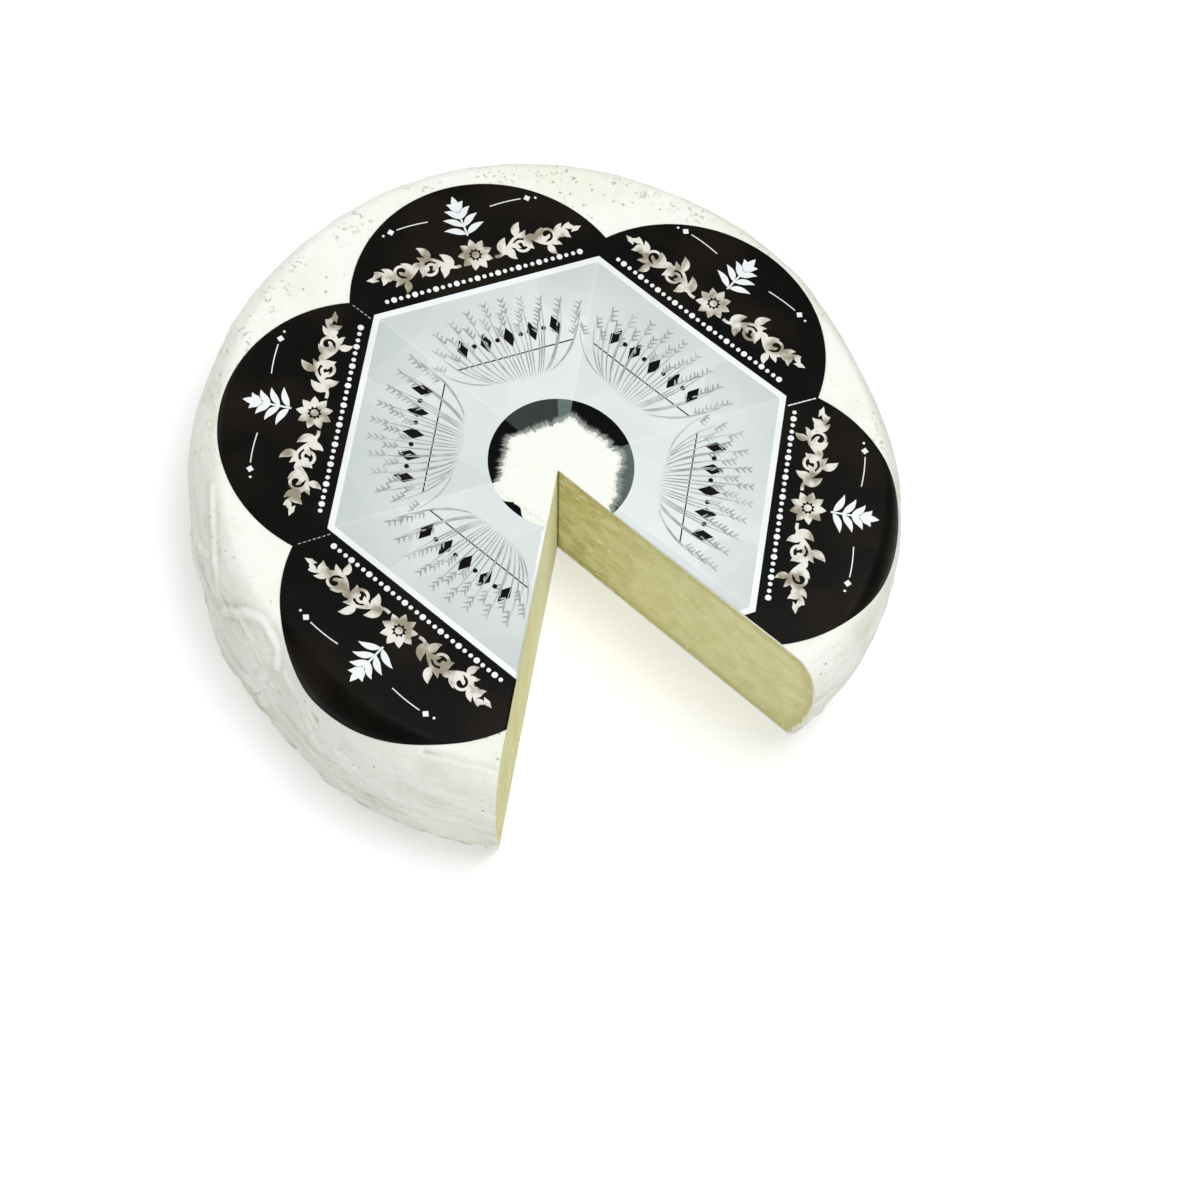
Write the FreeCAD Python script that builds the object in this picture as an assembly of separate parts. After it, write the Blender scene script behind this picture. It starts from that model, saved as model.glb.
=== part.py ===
"""Sheep milk cheese: a white-rinded wheel with one wedge cut out, and its paper label.

The wheel stands on its flat base. The origin is on the wheel's axis at the base, +Z is up,
and the missing wedge opens towards -Y and +X. Lengths are in millimetres and angles in
degrees, counted from +X towards +Y.
"""
import FreeCAD, Part
import math
import os

# Wheel: the turned form, before it is made uneven
WHEEL_RADIUS = 110.0        # at the belly, the widest place of the side
CENTRE_HEIGHT = 56.5        # at the middle of the top, which is slightly sunk
CREST_RISE = 2.2            # how far the ring near the rim stands above the middle
CREST_INSET = 11.0          # from the belly's radius in to that ring
BELLY_HEIGHT = 32.0         # where the side is widest
FOOT_INSET = 5.0            # from the belly's radius in to the lower edge
SHOULDER_FULLNESS = 2.0     # superellipse exponent of the upper shoulder, 2 is an ellipse
FOOT_CURVE = 1.8            # exponent of the draw-in from the belly to the foot

# Unevenness left by the mould and the cloth
# Swells of the outline: lobes around the wheel, their height, the angle of one crest
OUTLINE_SWELLS = ((2, 0.45, 92.0), (3, 0.30, 130.0), (5, 0.25, 96.0))
# Flattened places of the outline: angle, half width in degrees, depth
OUTLINE_FLATS = ((32.0, 17.5, 4.2), (232.0, 9.0, 2.3), (-34.0, 9.0, 4.5))
# Swells of the top: lobes around the wheel, their height at the crest, the angle of one crest
TOP_SWELLS = ((1, 1.5, -5.6), (2, 0.65, 8.5), (3, 1.1, 7.0))
# Cloth folds pressed into the side: angle at the belly, lean in degrees for each millimetre
# of height, half width along the rim, depth
SIDE_FOLDS = (
    (196.0, 0.42, 10.0, 0.9),
    (214.0, 0.55, 9.0, 1.3),
    (231.0, 0.30, 9.0, 1.0),
    (12.0, -0.40, 11.0, 0.6),
    (74.0, 0.25, 12.0, 0.5),
    (151.0, -0.30, 12.0, 0.6),
)

# Missing wedge: two straight knife cuts that meet in one leaning line
CUT_LEFT_ANGLE = -90.0
CUT_RIGHT_ANGLE = -30.0
CUT_TIP_TOP = (1.2, -4.5)       # where the line meets the top's middle height
CUT_TIP_BASE = (7.5, -1.5)      # where the line meets the base

# Label: six round lobes about a torn hole, stuck on the top a little off the middle
LABEL_CENTRE = (2.35, -5.85)
LABEL_CORNER_ANGLE = 90.25      # of one notch between two lobes
LABEL_SIDES = 6
LABEL_THICKNESS = 0.3
LABEL_MARGIN = 7.4              # bare rim from the outermost point of a lobe to the belly
LABEL_LOBE_DEPTH = 19.0         # from the outermost point in to the notch between two lobes
HOLE_OFFSET = (-0.45, -0.15)    # of the torn hole's middle from the label's centre
HOLE_RADIUS = 17.6              # mean radius of that hole
# Waves of the hole's edge: lobes around it, their height, the angle of one crest
HOLE_WAVES = ((2, 0.5, 35.0), (3, 0.6, 80.0), (5, 0.6, 10.0))

# Fineness of the uneven surface and of the hole's edge
ANGLE_STEPS = 60
TOP_STEPS = 5
SHOULDER_STEPS = 7
SIDE_STEPS = 5
HOLE_STEPS = 24

OVERLAP = 20.0                  # how far a cutting body stands past what it cuts
CREST_RADIUS = WHEEL_RADIUS - CREST_INSET
CREST_HEIGHT = CENTRE_HEIGHT + CREST_RISE
LABEL_REACH = WHEEL_RADIUS - LABEL_MARGIN
LABEL_NOTCH_RADIUS = LABEL_REACH - LABEL_LOBE_DEPTH


def polar(radius, angle, height=0.0):
    """Point at a radius and an angle about the wheel's axis."""
    turn = math.radians(angle)
    return FreeCAD.Vector(radius * math.cos(turn), radius * math.sin(turn), height)


def bell(distance, half_width):
    """Smooth bump of height one that fades out past its half width."""
    return math.exp(-(distance / half_width) ** 2)


def waves(angle, table):
    """Sum of swells at an angle; each row of the table is lobes, height, angle of a crest."""
    return sum(height * math.cos(math.radians(lobes * (angle - crest))) for lobes, height, crest in table)


def turn_between(angle, other):
    """Signed difference of two angles, from -180 to 180 degrees."""
    return (angle - other + 180.0) % 360.0 - 180.0


def top_profile(skin):
    """Radius and height from the sunken middle out to the ring near the rim."""
    points = []
    for step in range(TOP_STEPS):
        share = step / TOP_STEPS
        rise = share * share * (3.0 - 2.0 * share)
        points.append((CREST_RADIUS * share, CENTRE_HEIGHT + CREST_RISE * rise + skin))
    return points


def shoulder_profile(skin):
    """Radius and height round the upper shoulder, a quarter of a superellipse."""
    width = CREST_INSET + skin
    depth = CREST_HEIGHT - BELLY_HEIGHT + skin
    power = 2.0 / SHOULDER_FULLNESS
    points = []
    for step in range(SHOULDER_STEPS):
        turn = math.pi / 2.0 * step / SHOULDER_STEPS
        out = CREST_RADIUS + width * math.sin(turn) ** power
        points.append((out, BELLY_HEIGHT + depth * math.cos(turn) ** power))
    return points


def side_profile(skin):
    """Radius and height from the belly down to the foot."""
    points = []
    for step in range(SIDE_STEPS + 1):
        drop = step / SIDE_STEPS
        points.append((WHEEL_RADIUS + skin - FOOT_INSET * drop ** FOOT_CURVE, BELLY_HEIGHT * (1.0 - drop)))
    return points


def turned_profile(skin):
    """Radius and height from the middle of the top to the foot, a skin's thickness outside the wheel."""
    return top_profile(skin) + shoulder_profile(skin) + side_profile(skin)


def outline_shift(angle):
    """How far the outline stands out from the round at an angle."""
    flats = sum(depth * bell(turn_between(angle, at), half) for at, half, depth in OUTLINE_FLATS)
    return waves(angle, OUTLINE_SWELLS) - flats


def fold_depth(angle, height):
    """How deep the cloth folds are pressed into the side at an angle and a height."""
    above_belly = height - BELLY_HEIGHT
    total = 0.0
    for at, lean, half_width, depth in SIDE_FOLDS:
        along_rim = math.radians(turn_between(angle, at + lean * above_belly)) * WHEEL_RADIUS
        total += depth * bell(along_rim, half_width) * bell(above_belly, BELLY_HEIGHT)
    return total


def wheel_point(radius, height, angle):
    """Point of the uneven wheel that belongs to a point of the turned profile."""
    outwards = (radius / WHEEL_RADIUS) ** 2
    on_side = max(0.0, (radius - CREST_RADIUS) / CREST_INSET)
    shift = outwards * outline_shift(angle) - on_side * fold_depth(angle, height)
    lift = outwards * height / CREST_HEIGHT * waves(angle, TOP_SWELLS)
    return polar(radius + shift, angle, height + lift)


def spline_through(points, parameters, closed=False):
    """Cubic spline through points at given parameters."""
    curve = Part.BSplineCurve()
    curve.interpolate(Points=points, Parameters=parameters, PeriodicFlag=closed)
    return curve


def turned_surface(sections):
    """Smooth surface round the axis through profiles that all start at the middle of the top."""
    steps = [0.0]
    for point, following in zip(sections[0], sections[0][1:]):
        steps.append(steps[-1] + point.distanceToPoint(following))
    turns = [float(step) for step in range(len(sections) + 1)]
    profiles = [spline_through(section, steps) for section in sections]
    columns = list(zip(*[profile.getPoles() for profile in profiles]))
    rings = [spline_through(column, turns, closed=True) for column in columns[1:]]
    middle = [sections[0][0]] * rings[0].NbPoles
    net = [middle] + [ring.getPoles() for ring in rings]
    surface = Part.BSplineSurface()
    surface.buildFromPolesMultsKnots(
        [list(line) for line in zip(*net)],
        rings[0].getMultiplicities(),
        profiles[0].getMultiplicities(),
        rings[0].getKnots(),
        profiles[0].getKnots(),
        True,
        False,
        rings[0].Degree,
        profiles[0].Degree,
    )
    return surface


def whole_wheel(skin=0.0):
    """Uneven wheel as a solid, grown by a skin; the surface's seam lies in the missing wedge."""
    seam = (CUT_LEFT_ANGLE + CUT_RIGHT_ANGLE) / 2.0
    sections = []
    for step in range(ANGLE_STEPS):
        angle = seam + 360.0 * step / ANGLE_STEPS
        sections.append([wheel_point(radius, height, angle) for radius, height in turned_profile(skin)])
    rind = turned_surface(sections).toShape()
    foot = [edge for edge in rind.Edges if edge.BoundBox.ZMax < BELLY_HEIGHT / 2.0]
    shell = Part.makeShell([rind, Part.Face(Part.Wire(foot))])
    shell.sewShape()
    return Part.Solid(shell)


def missing_wedge():
    """Leaning wedge between the two knife cuts, past the rim, the top and the base."""
    tip_base = FreeCAD.Vector(CUT_TIP_BASE[0], CUT_TIP_BASE[1], 0.0)
    tip_top = FreeCAD.Vector(CUT_TIP_TOP[0], CUT_TIP_TOP[1], CENTRE_HEIGHT)
    lean = (tip_top - tip_base) / CENTRE_HEIGHT
    start = tip_base - lean * OVERLAP
    length = 2.0 * WHEEL_RADIUS + OVERLAP
    corners = [start, start + polar(length, CUT_LEFT_ANGLE), start + polar(length, CUT_RIGHT_ANGLE), start]
    return Part.Face(Part.makePolygon(corners)).extrude(lean * (CREST_HEIGHT + 2.0 * OVERLAP))


def about_label(radius, angle, offset=(0.0, 0.0)):
    """Point about the label's centre, or about a point set off from it."""
    middle = FreeCAD.Vector(LABEL_CENTRE[0] + offset[0], LABEL_CENTRE[1] + offset[1], 0.0)
    return middle + polar(radius, angle)


def label_outline():
    """Round lobes that meet in notches."""
    sector = 360.0 / LABEL_SIDES
    arcs = []
    for side in range(LABEL_SIDES):
        corner = LABEL_CORNER_ANGLE + sector * side
        start = about_label(LABEL_NOTCH_RADIUS, corner)
        crest = about_label(LABEL_REACH, corner + sector / 2.0)
        end = about_label(LABEL_NOTCH_RADIUS, corner + sector)
        arcs.append(Part.Arc(start, crest, end).toShape())
    return Part.Wire(arcs)


def hole_outline():
    """Uneven edge of the torn hole at the label's middle, where the rind shows."""
    points = []
    for step in range(HOLE_STEPS):
        angle = 360.0 * step / HOLE_STEPS
        points.append(about_label(HOLE_RADIUS + waves(angle, HOLE_WAVES), angle, HOLE_OFFSET))
    edge = Part.BSplineCurve()
    edge.interpolate(Points=points, PeriodicFlag=True)
    return Part.Wire(edge.toShape())


def upright(outline):
    """Prism over a flat outline, from the belly's height to above the top."""
    prism = Part.Face(outline).extrude(FreeCAD.Vector(0.0, 0.0, CREST_HEIGHT - BELLY_HEIGHT + OVERLAP))
    prism.translate(FreeCAD.Vector(0.0, 0.0, BELLY_HEIGHT))
    return prism


def cheese():
    """Wheel with the wedge cut out."""
    return whole_wheel().cut(missing_wedge())


def label():
    """Paper on the wheel's top, with its lobes, its hole and the same cuts as the cheese."""
    paper = whole_wheel(LABEL_THICKNESS).cut(whole_wheel())
    return paper.common(upright(label_outline())).cut(upright(hole_outline())).cut(missing_wedge())


def main():
    """Build both pieces and write one STEP file for each."""
    os.makedirs("parts", exist_ok=True)
    for name, build in (("cheese", cheese), ("label", label)):
        build().exportStep("parts/" + name + ".step")


main()
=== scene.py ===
"""A cut wheel of sheep milk cheese with its printed paper label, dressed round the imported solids.

Lengths inside the classes are millimetres in the model's frame, with +Z up and the wheel
standing on Z = 0; meshes are written in metres. Angles are degrees from +X towards +Y.
"""

import itertools
import logging
import math
from dataclasses import dataclass
from enum import Enum
from typing import Callable

import bmesh
import bpy
import numpy as np
from mathutils import Matrix, Vector


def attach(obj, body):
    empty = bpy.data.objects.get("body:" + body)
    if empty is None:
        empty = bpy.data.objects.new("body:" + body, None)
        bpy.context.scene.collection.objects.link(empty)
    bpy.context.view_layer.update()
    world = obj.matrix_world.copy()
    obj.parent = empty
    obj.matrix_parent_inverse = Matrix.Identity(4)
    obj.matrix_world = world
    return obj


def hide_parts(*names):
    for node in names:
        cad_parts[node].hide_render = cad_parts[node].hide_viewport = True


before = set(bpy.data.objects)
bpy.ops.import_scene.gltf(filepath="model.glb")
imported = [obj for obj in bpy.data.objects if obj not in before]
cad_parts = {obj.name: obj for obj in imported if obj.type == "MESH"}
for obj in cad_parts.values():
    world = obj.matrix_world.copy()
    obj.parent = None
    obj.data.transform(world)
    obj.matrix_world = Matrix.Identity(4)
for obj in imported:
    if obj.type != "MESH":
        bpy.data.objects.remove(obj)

Array = np.ndarray
Colour = tuple[float, float, float]
Pair = tuple[float, float]
Triple = tuple[float, float, float]
Swells = tuple[tuple[float, float, float], ...]

METRE = 0.001                   # one millimetre
BODY = "root"
DEPTH = "depth_mm"              # number that vertices carry: a hollow's depth or the way to an edge
SLIVER = 0.0003                 # edges shorter than this are dissolved
GOLDEN_RATIO = 0.618034         # its multiples spread evenly between whole numbers
MIXER = 0x9E3779B97F4A7C15      # large odd number that mixes the bits of a cell's coordinates
WHITE = (1.0, 1.0, 1.0, 1.0)
log = logging.getLogger("cheese")


class Slot(Enum):
    """Names of the material slots, one for the cheese and one for the label."""

    CHEESE = "cheese"
    LABEL = "label"


# ---------------------------------------------------------------- numbers on whole arrays


def unit(angle: Array | float) -> Array:
    """Plan direction of an angle: its cosine and sine along a new last axis."""
    turn = np.radians(angle)
    return np.stack([np.cos(turn), np.sin(turn)], axis=-1)


def heading(plan: Array) -> Array:
    """Angle of plan vectors, the arc tangent of their two coordinates."""
    return np.degrees(np.arctan2(plan[..., 1], plan[..., 0]))


def with_height(plan: Array, height: Array) -> Array:
    """Points in space from plan points and their heights."""
    return np.concatenate([plan, height[..., None]], axis=-1)


def along_line(value: Array) -> Array:
    """Noise coordinates that vary along one line."""
    return np.stack([value, value * 0.0], axis=-1)


def bell(distance: Array, half_width: float) -> Array:
    """Smooth bump of height one, the exponential of minus the squared ratio."""
    return np.exp(-((distance / half_width) ** 2))


def ease(value: Array, start: float, end: float) -> Array:
    """Smooth step from zero at start to one at end: 3t squared less 2t cubed."""
    share = np.clip((value - start) / (end - start), 0.0, 1.0)
    return share * share * (3.0 - 2.0 * share)


def turn_between(angle: Array, other: Array | float) -> Array:
    """Signed difference of two angles, from -180 to 180 degrees."""
    return (angle - other + 180.0) % 360.0 - 180.0


def waves(angle: Array, table: Swells) -> Array:
    """Sum of swells at an angle; a row of the table is lobes, height and angle of a crest."""
    return sum(height * np.cos(np.radians(lobes * (angle - crest))) for lobes, height, crest in table)


def cell_value(cell: Array, seed: int) -> Array:
    """Fixed random value from -1 to 1 for each whole-number cell.

    The cell's coordinates are mixed one after another into a 64-bit number by xor and
    multiplication, and its upper bits become the value.

    Args:
        cell: Whole numbers, one row of coordinates for each cell.
        seed: Number that picks another set of values.

    Returns:
        One value for each cell.
    """
    mixed = np.full(cell.shape[:-1], seed * 7919 + 17, np.uint64)
    for axis in range(cell.shape[-1]):
        mixed = (mixed ^ cell[..., axis].astype(np.uint64)) * np.uint64(MIXER)
        mixed ^= mixed >> np.uint64(29)
    return (mixed >> np.uint64(11)).astype(float) / 2.0**52 - 1.0


def lattice_noise(points: Array, seed: int) -> Array:
    """Smooth noise from -1 to 1: random corner values of a lattice, blended by a quintic ease.

    Args:
        points: Coordinates in lattice cells, along the last axis.
        seed: Number that picks another pattern.

    Returns:
        One value for each point.
    """
    cell = np.floor(points).astype(np.int64)
    share = points - cell
    blend = share**3 * (share * (share * 6.0 - 15.0) + 10.0)
    total = np.zeros(points.shape[:-1])
    for corner in itertools.product((0, 1), repeat=points.shape[-1]):
        step = np.array(corner)
        weight = np.prod(np.where(step == 1, blend, 1.0 - blend), axis=-1)
        total += weight * cell_value(cell + step, seed)
    return total


def layered_noise(points: Array, seed: int, layers: int = 3) -> Array:
    """Lattice noise summed over layers, each twice as fine and half as high."""
    return sum(lattice_noise(points * 2.0**layer, seed + layer) / 2.0**layer for layer in range(layers))


def dimples(points: Array, spacing: float, chance: float, seed: int) -> Array:
    """Depth from 0 to 1 of sparse round dimples.

    Each cube of a lattice may hold one ball at a random place and of random size; a point
    inside a ball is as deep as one less its squared share of the ball's radius.

    Args:
        points: Coordinates in millimetres.
        spacing: Side of a cube.
        chance: Share of the cubes that hold a ball.
        seed: Number that picks another pattern.

    Returns:
        One depth for each point.
    """
    ball, spread, wander = 0.20, 0.12, 0.3      # radius, its variation and the middle's shift, in cubes
    scaled = points / spacing
    cell = np.floor(scaled).astype(np.int64)
    deepest = np.zeros(points.shape[:-1])
    for step in itertools.product((-1, 0, 1), repeat=3):
        near = cell + np.array(step)
        jitter = np.stack([cell_value(near, seed + axis) for axis in range(3)], axis=-1)
        radius = ball + spread * cell_value(near, seed + 3)
        gap = np.linalg.norm(scaled - near - 0.5 - wander * jitter, axis=-1) / radius
        present = cell_value(near, seed + 4) < 2.0 * chance - 1.0
        deepest = np.maximum(deepest, present * np.clip(1.0 - gap * gap, 0.0, None))
    return deepest


# ---------------------------------------------------------------- meshes from grids


@dataclass
class Patch:
    """Grid of points, rows by columns, that becomes a sheet of quads."""

    points: Array
    material: int = 0
    value: Array | None = None

    def quads(self, start: int) -> Array:
        """Corner numbers of the grid's quads, counted from a first vertex number."""
        rows, columns = self.points.shape[:2]
        number = start + np.arange(rows * columns).reshape(rows, columns)
        corners = [number[:-1, :-1], number[:-1, 1:], number[1:, 1:], number[1:, :-1]]
        return np.stack(corners, axis=-1).reshape(-1, 4)


class Builder:
    """Turns patches into one Blender mesh with merged borders."""

    def __init__(self, name: str, value_name: str | None = None) -> None:
        """Start a piece.

        Args:
            name: Name of the object.
            value_name: Name of the number that each vertex carries for the material.
        """
        self.name = name
        self.value_name = value_name
        self.patches: list[Patch] = []
        self.outlines: list[Array] = []

    def add(self, points: Array, material: int = 0, value: Array | None = None) -> None:
        """Add a grid of points in millimetres with its material number and vertex values."""
        self.patches.append(Patch(points, material, value))

    def outline(self, points: Array) -> None:
        """Add one flat face of material 0 with its corners in order."""
        self.outlines.append(points)

    def piece(self, merge: float = 0.002, crease: float = 60.0) -> bpy.types.Object:
        """Make the object: patches joined, doubles merged and faces turned outwards.

        Args:
            merge: Distance in millimetres under which vertices become one.
            crease: Angle in degrees past which an edge is shaded sharp.

        Returns:
            The linked object at the origin.
        """
        faces: list[list[int]] = []
        materials: list[int] = []
        start = 0
        for patch in self.patches:
            quads = patch.quads(start).tolist()
            faces += quads
            materials += [patch.material] * len(quads)
            start += patch.points[..., 0].size
        inner = start
        for outline in self.outlines:
            faces.append(list(range(start, start + len(outline))))
            materials.append(0)
            start += len(outline)
        points = np.concatenate([patch.points.reshape(-1, 3) for patch in self.patches] + self.outlines)
        mesh = bpy.data.meshes.new(self.name)
        mesh.from_pydata((points * METRE).tolist(), [], faces)
        mesh.polygons.foreach_set("material_index", np.array(materials, np.int32))
        if self.value_name:
            values = np.zeros(start, np.float32)
            values[:inner] = np.concatenate([patch.value.reshape(-1) for patch in self.patches])
            attribute = mesh.attributes.new(self.value_name, "FLOAT", "POINT")
            attribute.data.foreach_set("value", values)
        self._close(mesh, merge * METRE)
        mesh.polygons.foreach_set("use_smooth", np.ones(len(mesh.polygons), bool))
        mesh.set_sharp_from_angle(angle=math.radians(crease))
        thing = bpy.data.objects.new(self.name, mesh)
        bpy.context.scene.collection.objects.link(thing)
        return thing

    @staticmethod
    def _close(mesh: bpy.types.Mesh, distance: float) -> None:
        """Merge vertices, dissolve slivers and turn the faces outwards.

        Args:
            mesh: Mesh to change.
            distance: Distance in metres under which vertices become one.
        """
        work = bmesh.new()
        work.from_mesh(mesh)
        bmesh.ops.remove_doubles(work, verts=work.verts, dist=distance)
        bmesh.ops.dissolve_degenerate(work, edges=work.edges, dist=SLIVER * METRE)
        bmesh.ops.recalc_face_normals(work, faces=work.faces)
        work.to_mesh(mesh)
        work.free()


def present(piece: bpy.types.Object, slot: Slot, finishes: list[bpy.types.Material], *nodes: str) -> None:
    """Give a piece its materials and its body, and report it.

    Args:
        piece: Finished object.
        slot: Not used.
        finishes: Materials in the order of the faces' material numbers.
        nodes: Solids that the piece stands for.
    """
    for finish in finishes:
        piece.data.materials.append(finish)
    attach(piece, BODY)
    if nodes:
        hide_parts(*nodes)
    stands_for = ", ".join(nodes) or "itself"
    log.info("%s: %d faces, stands for %s", piece.name, len(piece.data.polygons), stands_for)


# ---------------------------------------------------------------- the wheel's form


@dataclass(frozen=True)
class WheelForm:
    """Uneven wheel and its two cuts, as the solids have them."""

    wheel_radius: float = 110.0
    centre_height: float = 56.5
    crest_rise: float = 2.2
    crest_inset: float = 11.0
    belly_height: float = 32.0
    foot_inset: float = 5.0
    shoulder_fullness: float = 2.0
    foot_curve: float = 1.8
    # Lobes around the wheel, their height and the angle of one crest
    outline_swells: Swells = ((2, 0.45, 92.0), (3, 0.30, 130.0), (5, 0.25, 96.0))
    top_swells: Swells = ((1, 1.5, -5.6), (2, 0.65, 8.5), (3, 1.1, 7.0))
    # Angle, half width in degrees and depth
    outline_flats: Swells = ((32.0, 17.5, 4.2), (232.0, 9.0, 2.3), (-34.0, 9.0, 4.5))
    # Angle at the belly, lean in degrees per millimetre of height, half width along the rim and depth
    side_folds: tuple[tuple[float, float, float, float], ...] = (
        (196.0, 0.42, 10.0, 0.9),
        (214.0, 0.55, 9.0, 1.3),
        (231.0, 0.30, 9.0, 1.0),
        (12.0, -0.40, 11.0, 0.6),
        (74.0, 0.25, 12.0, 0.5),
        (151.0, -0.30, 12.0, 0.6),
    )
    cut_left: float = 270.0
    cut_right: float = -30.0
    tip_top: Pair = (1.2, -4.5)
    tip_base: Pair = (7.5, -1.5)
    shoulder_samples: int = 600
    side_samples: int = 300
    ray_repeats: int = 4
    height_repeats: int = 3
    slope_step: float = 0.05

    @property
    def crest_radius(self) -> float:
        """Radius of the highest ring."""
        return self.wheel_radius - self.crest_inset

    @property
    def crest_height(self) -> float:
        """Height of the highest ring."""
        return self.centre_height + self.crest_rise

    def turned_height(self, radius: Array) -> Array:
        """Height of the turned top over a radius: an eased rise, then a superellipse.

        Args:
            radius: Radii, held just short of the belly, where the slope is upright.

        Returns:
            Heights.
        """
        short_of_belly = 0.9999
        rise = self.centre_height + self.crest_rise * ease(radius, 0.0, self.crest_radius)
        out = np.clip((radius - self.crest_radius) / self.crest_inset, 0.0, short_of_belly)
        power = self.shoulder_fullness
        drop = 1.0 - (1.0 - out**power) ** (1.0 / power)
        return rise - (self.crest_height - self.belly_height) * drop

    def rim_profile(self, spacing: float) -> tuple[Array, Array]:
        """Radius and height from the highest ring to the foot at even steps of the way down.

        The shoulder is a quarter of a superellipse and the side draws in by a power of the
        drop below the belly; both are sampled finely and read again at even steps.

        Args:
            spacing: Length of a step, about.

        Returns:
            Radii and heights.
        """
        turn = np.linspace(0.0, np.pi / 2.0, self.shoulder_samples)
        power = 2.0 / self.shoulder_fullness
        depth = self.crest_height - self.belly_height
        drop = np.linspace(0.0, 1.0, self.side_samples)[1:]
        radius = np.concatenate([
            self.crest_radius + self.crest_inset * np.sin(turn) ** power,
            self.wheel_radius - self.foot_inset * drop**self.foot_curve,
        ])
        height = np.concatenate([
            self.belly_height + depth * np.clip(np.cos(turn), 0.0, 1.0) ** power,
            self.belly_height * (1.0 - drop),
        ])
        way = np.concatenate([[0.0], np.cumsum(np.hypot(np.diff(radius), np.diff(height)))])
        even = np.linspace(0.0, way[-1], round(way[-1] / spacing) + 1)
        return np.interp(even, way, radius), np.interp(even, way, height)

    def outline_shift(self, angle: Array) -> Array:
        """How far the outline stands out from the round at an angle."""
        flats = sum(depth * bell(turn_between(angle, at), half) for at, half, depth in self.outline_flats)
        return waves(angle, self.outline_swells) - flats

    def fold_depth(self, angle: Array, height: Array) -> Array:
        """How deep the broad cloth folds are pressed in: a bell along the rim times one in height.

        Args:
            angle: Angle about the axis.
            height: Height of the turned profile.

        Returns:
            Depths.
        """
        above = height - self.belly_height
        total = 0.0
        for at, lean, half_width, depth in self.side_folds:
            along = np.radians(turn_between(angle, at + lean * above)) * self.wheel_radius
            total = total + depth * bell(along, half_width) * bell(above, self.belly_height)
        return total

    def uneven(self, radius: Array, height: Array, angle: Array) -> tuple[Array, Array]:
        """Carry a point of the turned profile to the uneven wheel.

        The outline's shift and the top's lift grow with the squared radius, and the folds
        with the way down the shoulder.

        Args:
            radius: Radius of the turned profile.
            height: Height of the turned profile.
            angle: Angle about the axis.

        Returns:
            Radius and height there.
        """
        outwards = (radius / self.wheel_radius) ** 2
        on_side = np.clip((radius - self.crest_radius) / self.crest_inset, 0.0, None)
        shift = outwards * self.outline_shift(angle) - on_side * self.fold_depth(angle, height)
        lift = outwards * height / self.crest_height * waves(angle, self.top_swells)
        return radius + shift, height + lift

    def tip(self, height: Array) -> Array:
        """Plan point of the leaning line where the two cuts meet, at a height."""
        share = np.asarray(height)[..., None] / self.centre_height
        base = np.array(self.tip_base)
        return base + (np.array(self.tip_top) - base) * share

    def on_ray(self, angle: Array, radius: Array, height: Array) -> Array:
        """Point of the uneven wheel on the ray that leaves the cuts' tip line at an angle.

        The ring at the profile's radius is met by the ray where the tip plus a length times
        the ray's direction has the ring's radius; the ring's own angle is found by repeating.

        Args:
            angle: Direction of the ray.
            radius: Radius of the turned profile.
            height: Height of the turned profile.

        Returns:
            Points with three coordinates.
        """
        angle, radius, height = np.broadcast_arrays(angle, radius, height)
        about = angle
        for _ in range(self.ray_repeats):
            ring, level = self.uneven(radius, height, about)
            tip = self.tip(level)
            along = np.sum(tip * unit(angle), axis=-1)
            length = np.sqrt(ring**2 - np.sum(tip**2, axis=-1) + along**2) - along
            plan = tip + length[..., None] * unit(angle)
            about = heading(plan)
        return with_height(plan, level)

    def height_at(self, plan: Array) -> Array:
        """Height of the uneven top and shoulder.

        The turned radius that the wheel's unevenness carries to a point is found by repeating.

        Args:
            plan: Plan points.

        Returns:
            Heights over them.
        """
        angle = heading(plan)
        reach = np.linalg.norm(plan, axis=-1)
        radius = reach
        for _ in range(self.height_repeats):
            ring, _ = self.uneven(radius, self.turned_height(radius), angle)
            radius = radius + reach - ring
        return self.uneven(radius, self.turned_height(radius), angle)[1]

    def on_top(self, plan: Array, lift: Array | float) -> Array:
        """Points above the top, with the surface's normal from its slopes over a short step.

        Args:
            plan: Plan points.
            lift: Distance from the surface, square to it.

        Returns:
            Points with three coordinates.
        """
        level = self.height_at(plan)
        steps = self.slope_step * np.eye(2)
        slopes = [(self.height_at(plan + step) - level) / self.slope_step for step in steps]
        normal = np.stack([-slopes[0], -slopes[1], np.ones_like(level)], axis=-1)
        normal /= np.linalg.norm(normal, axis=-1, keepdims=True)
        return with_height(plan, level) + normal * np.asarray(lift)[..., None]


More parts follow.
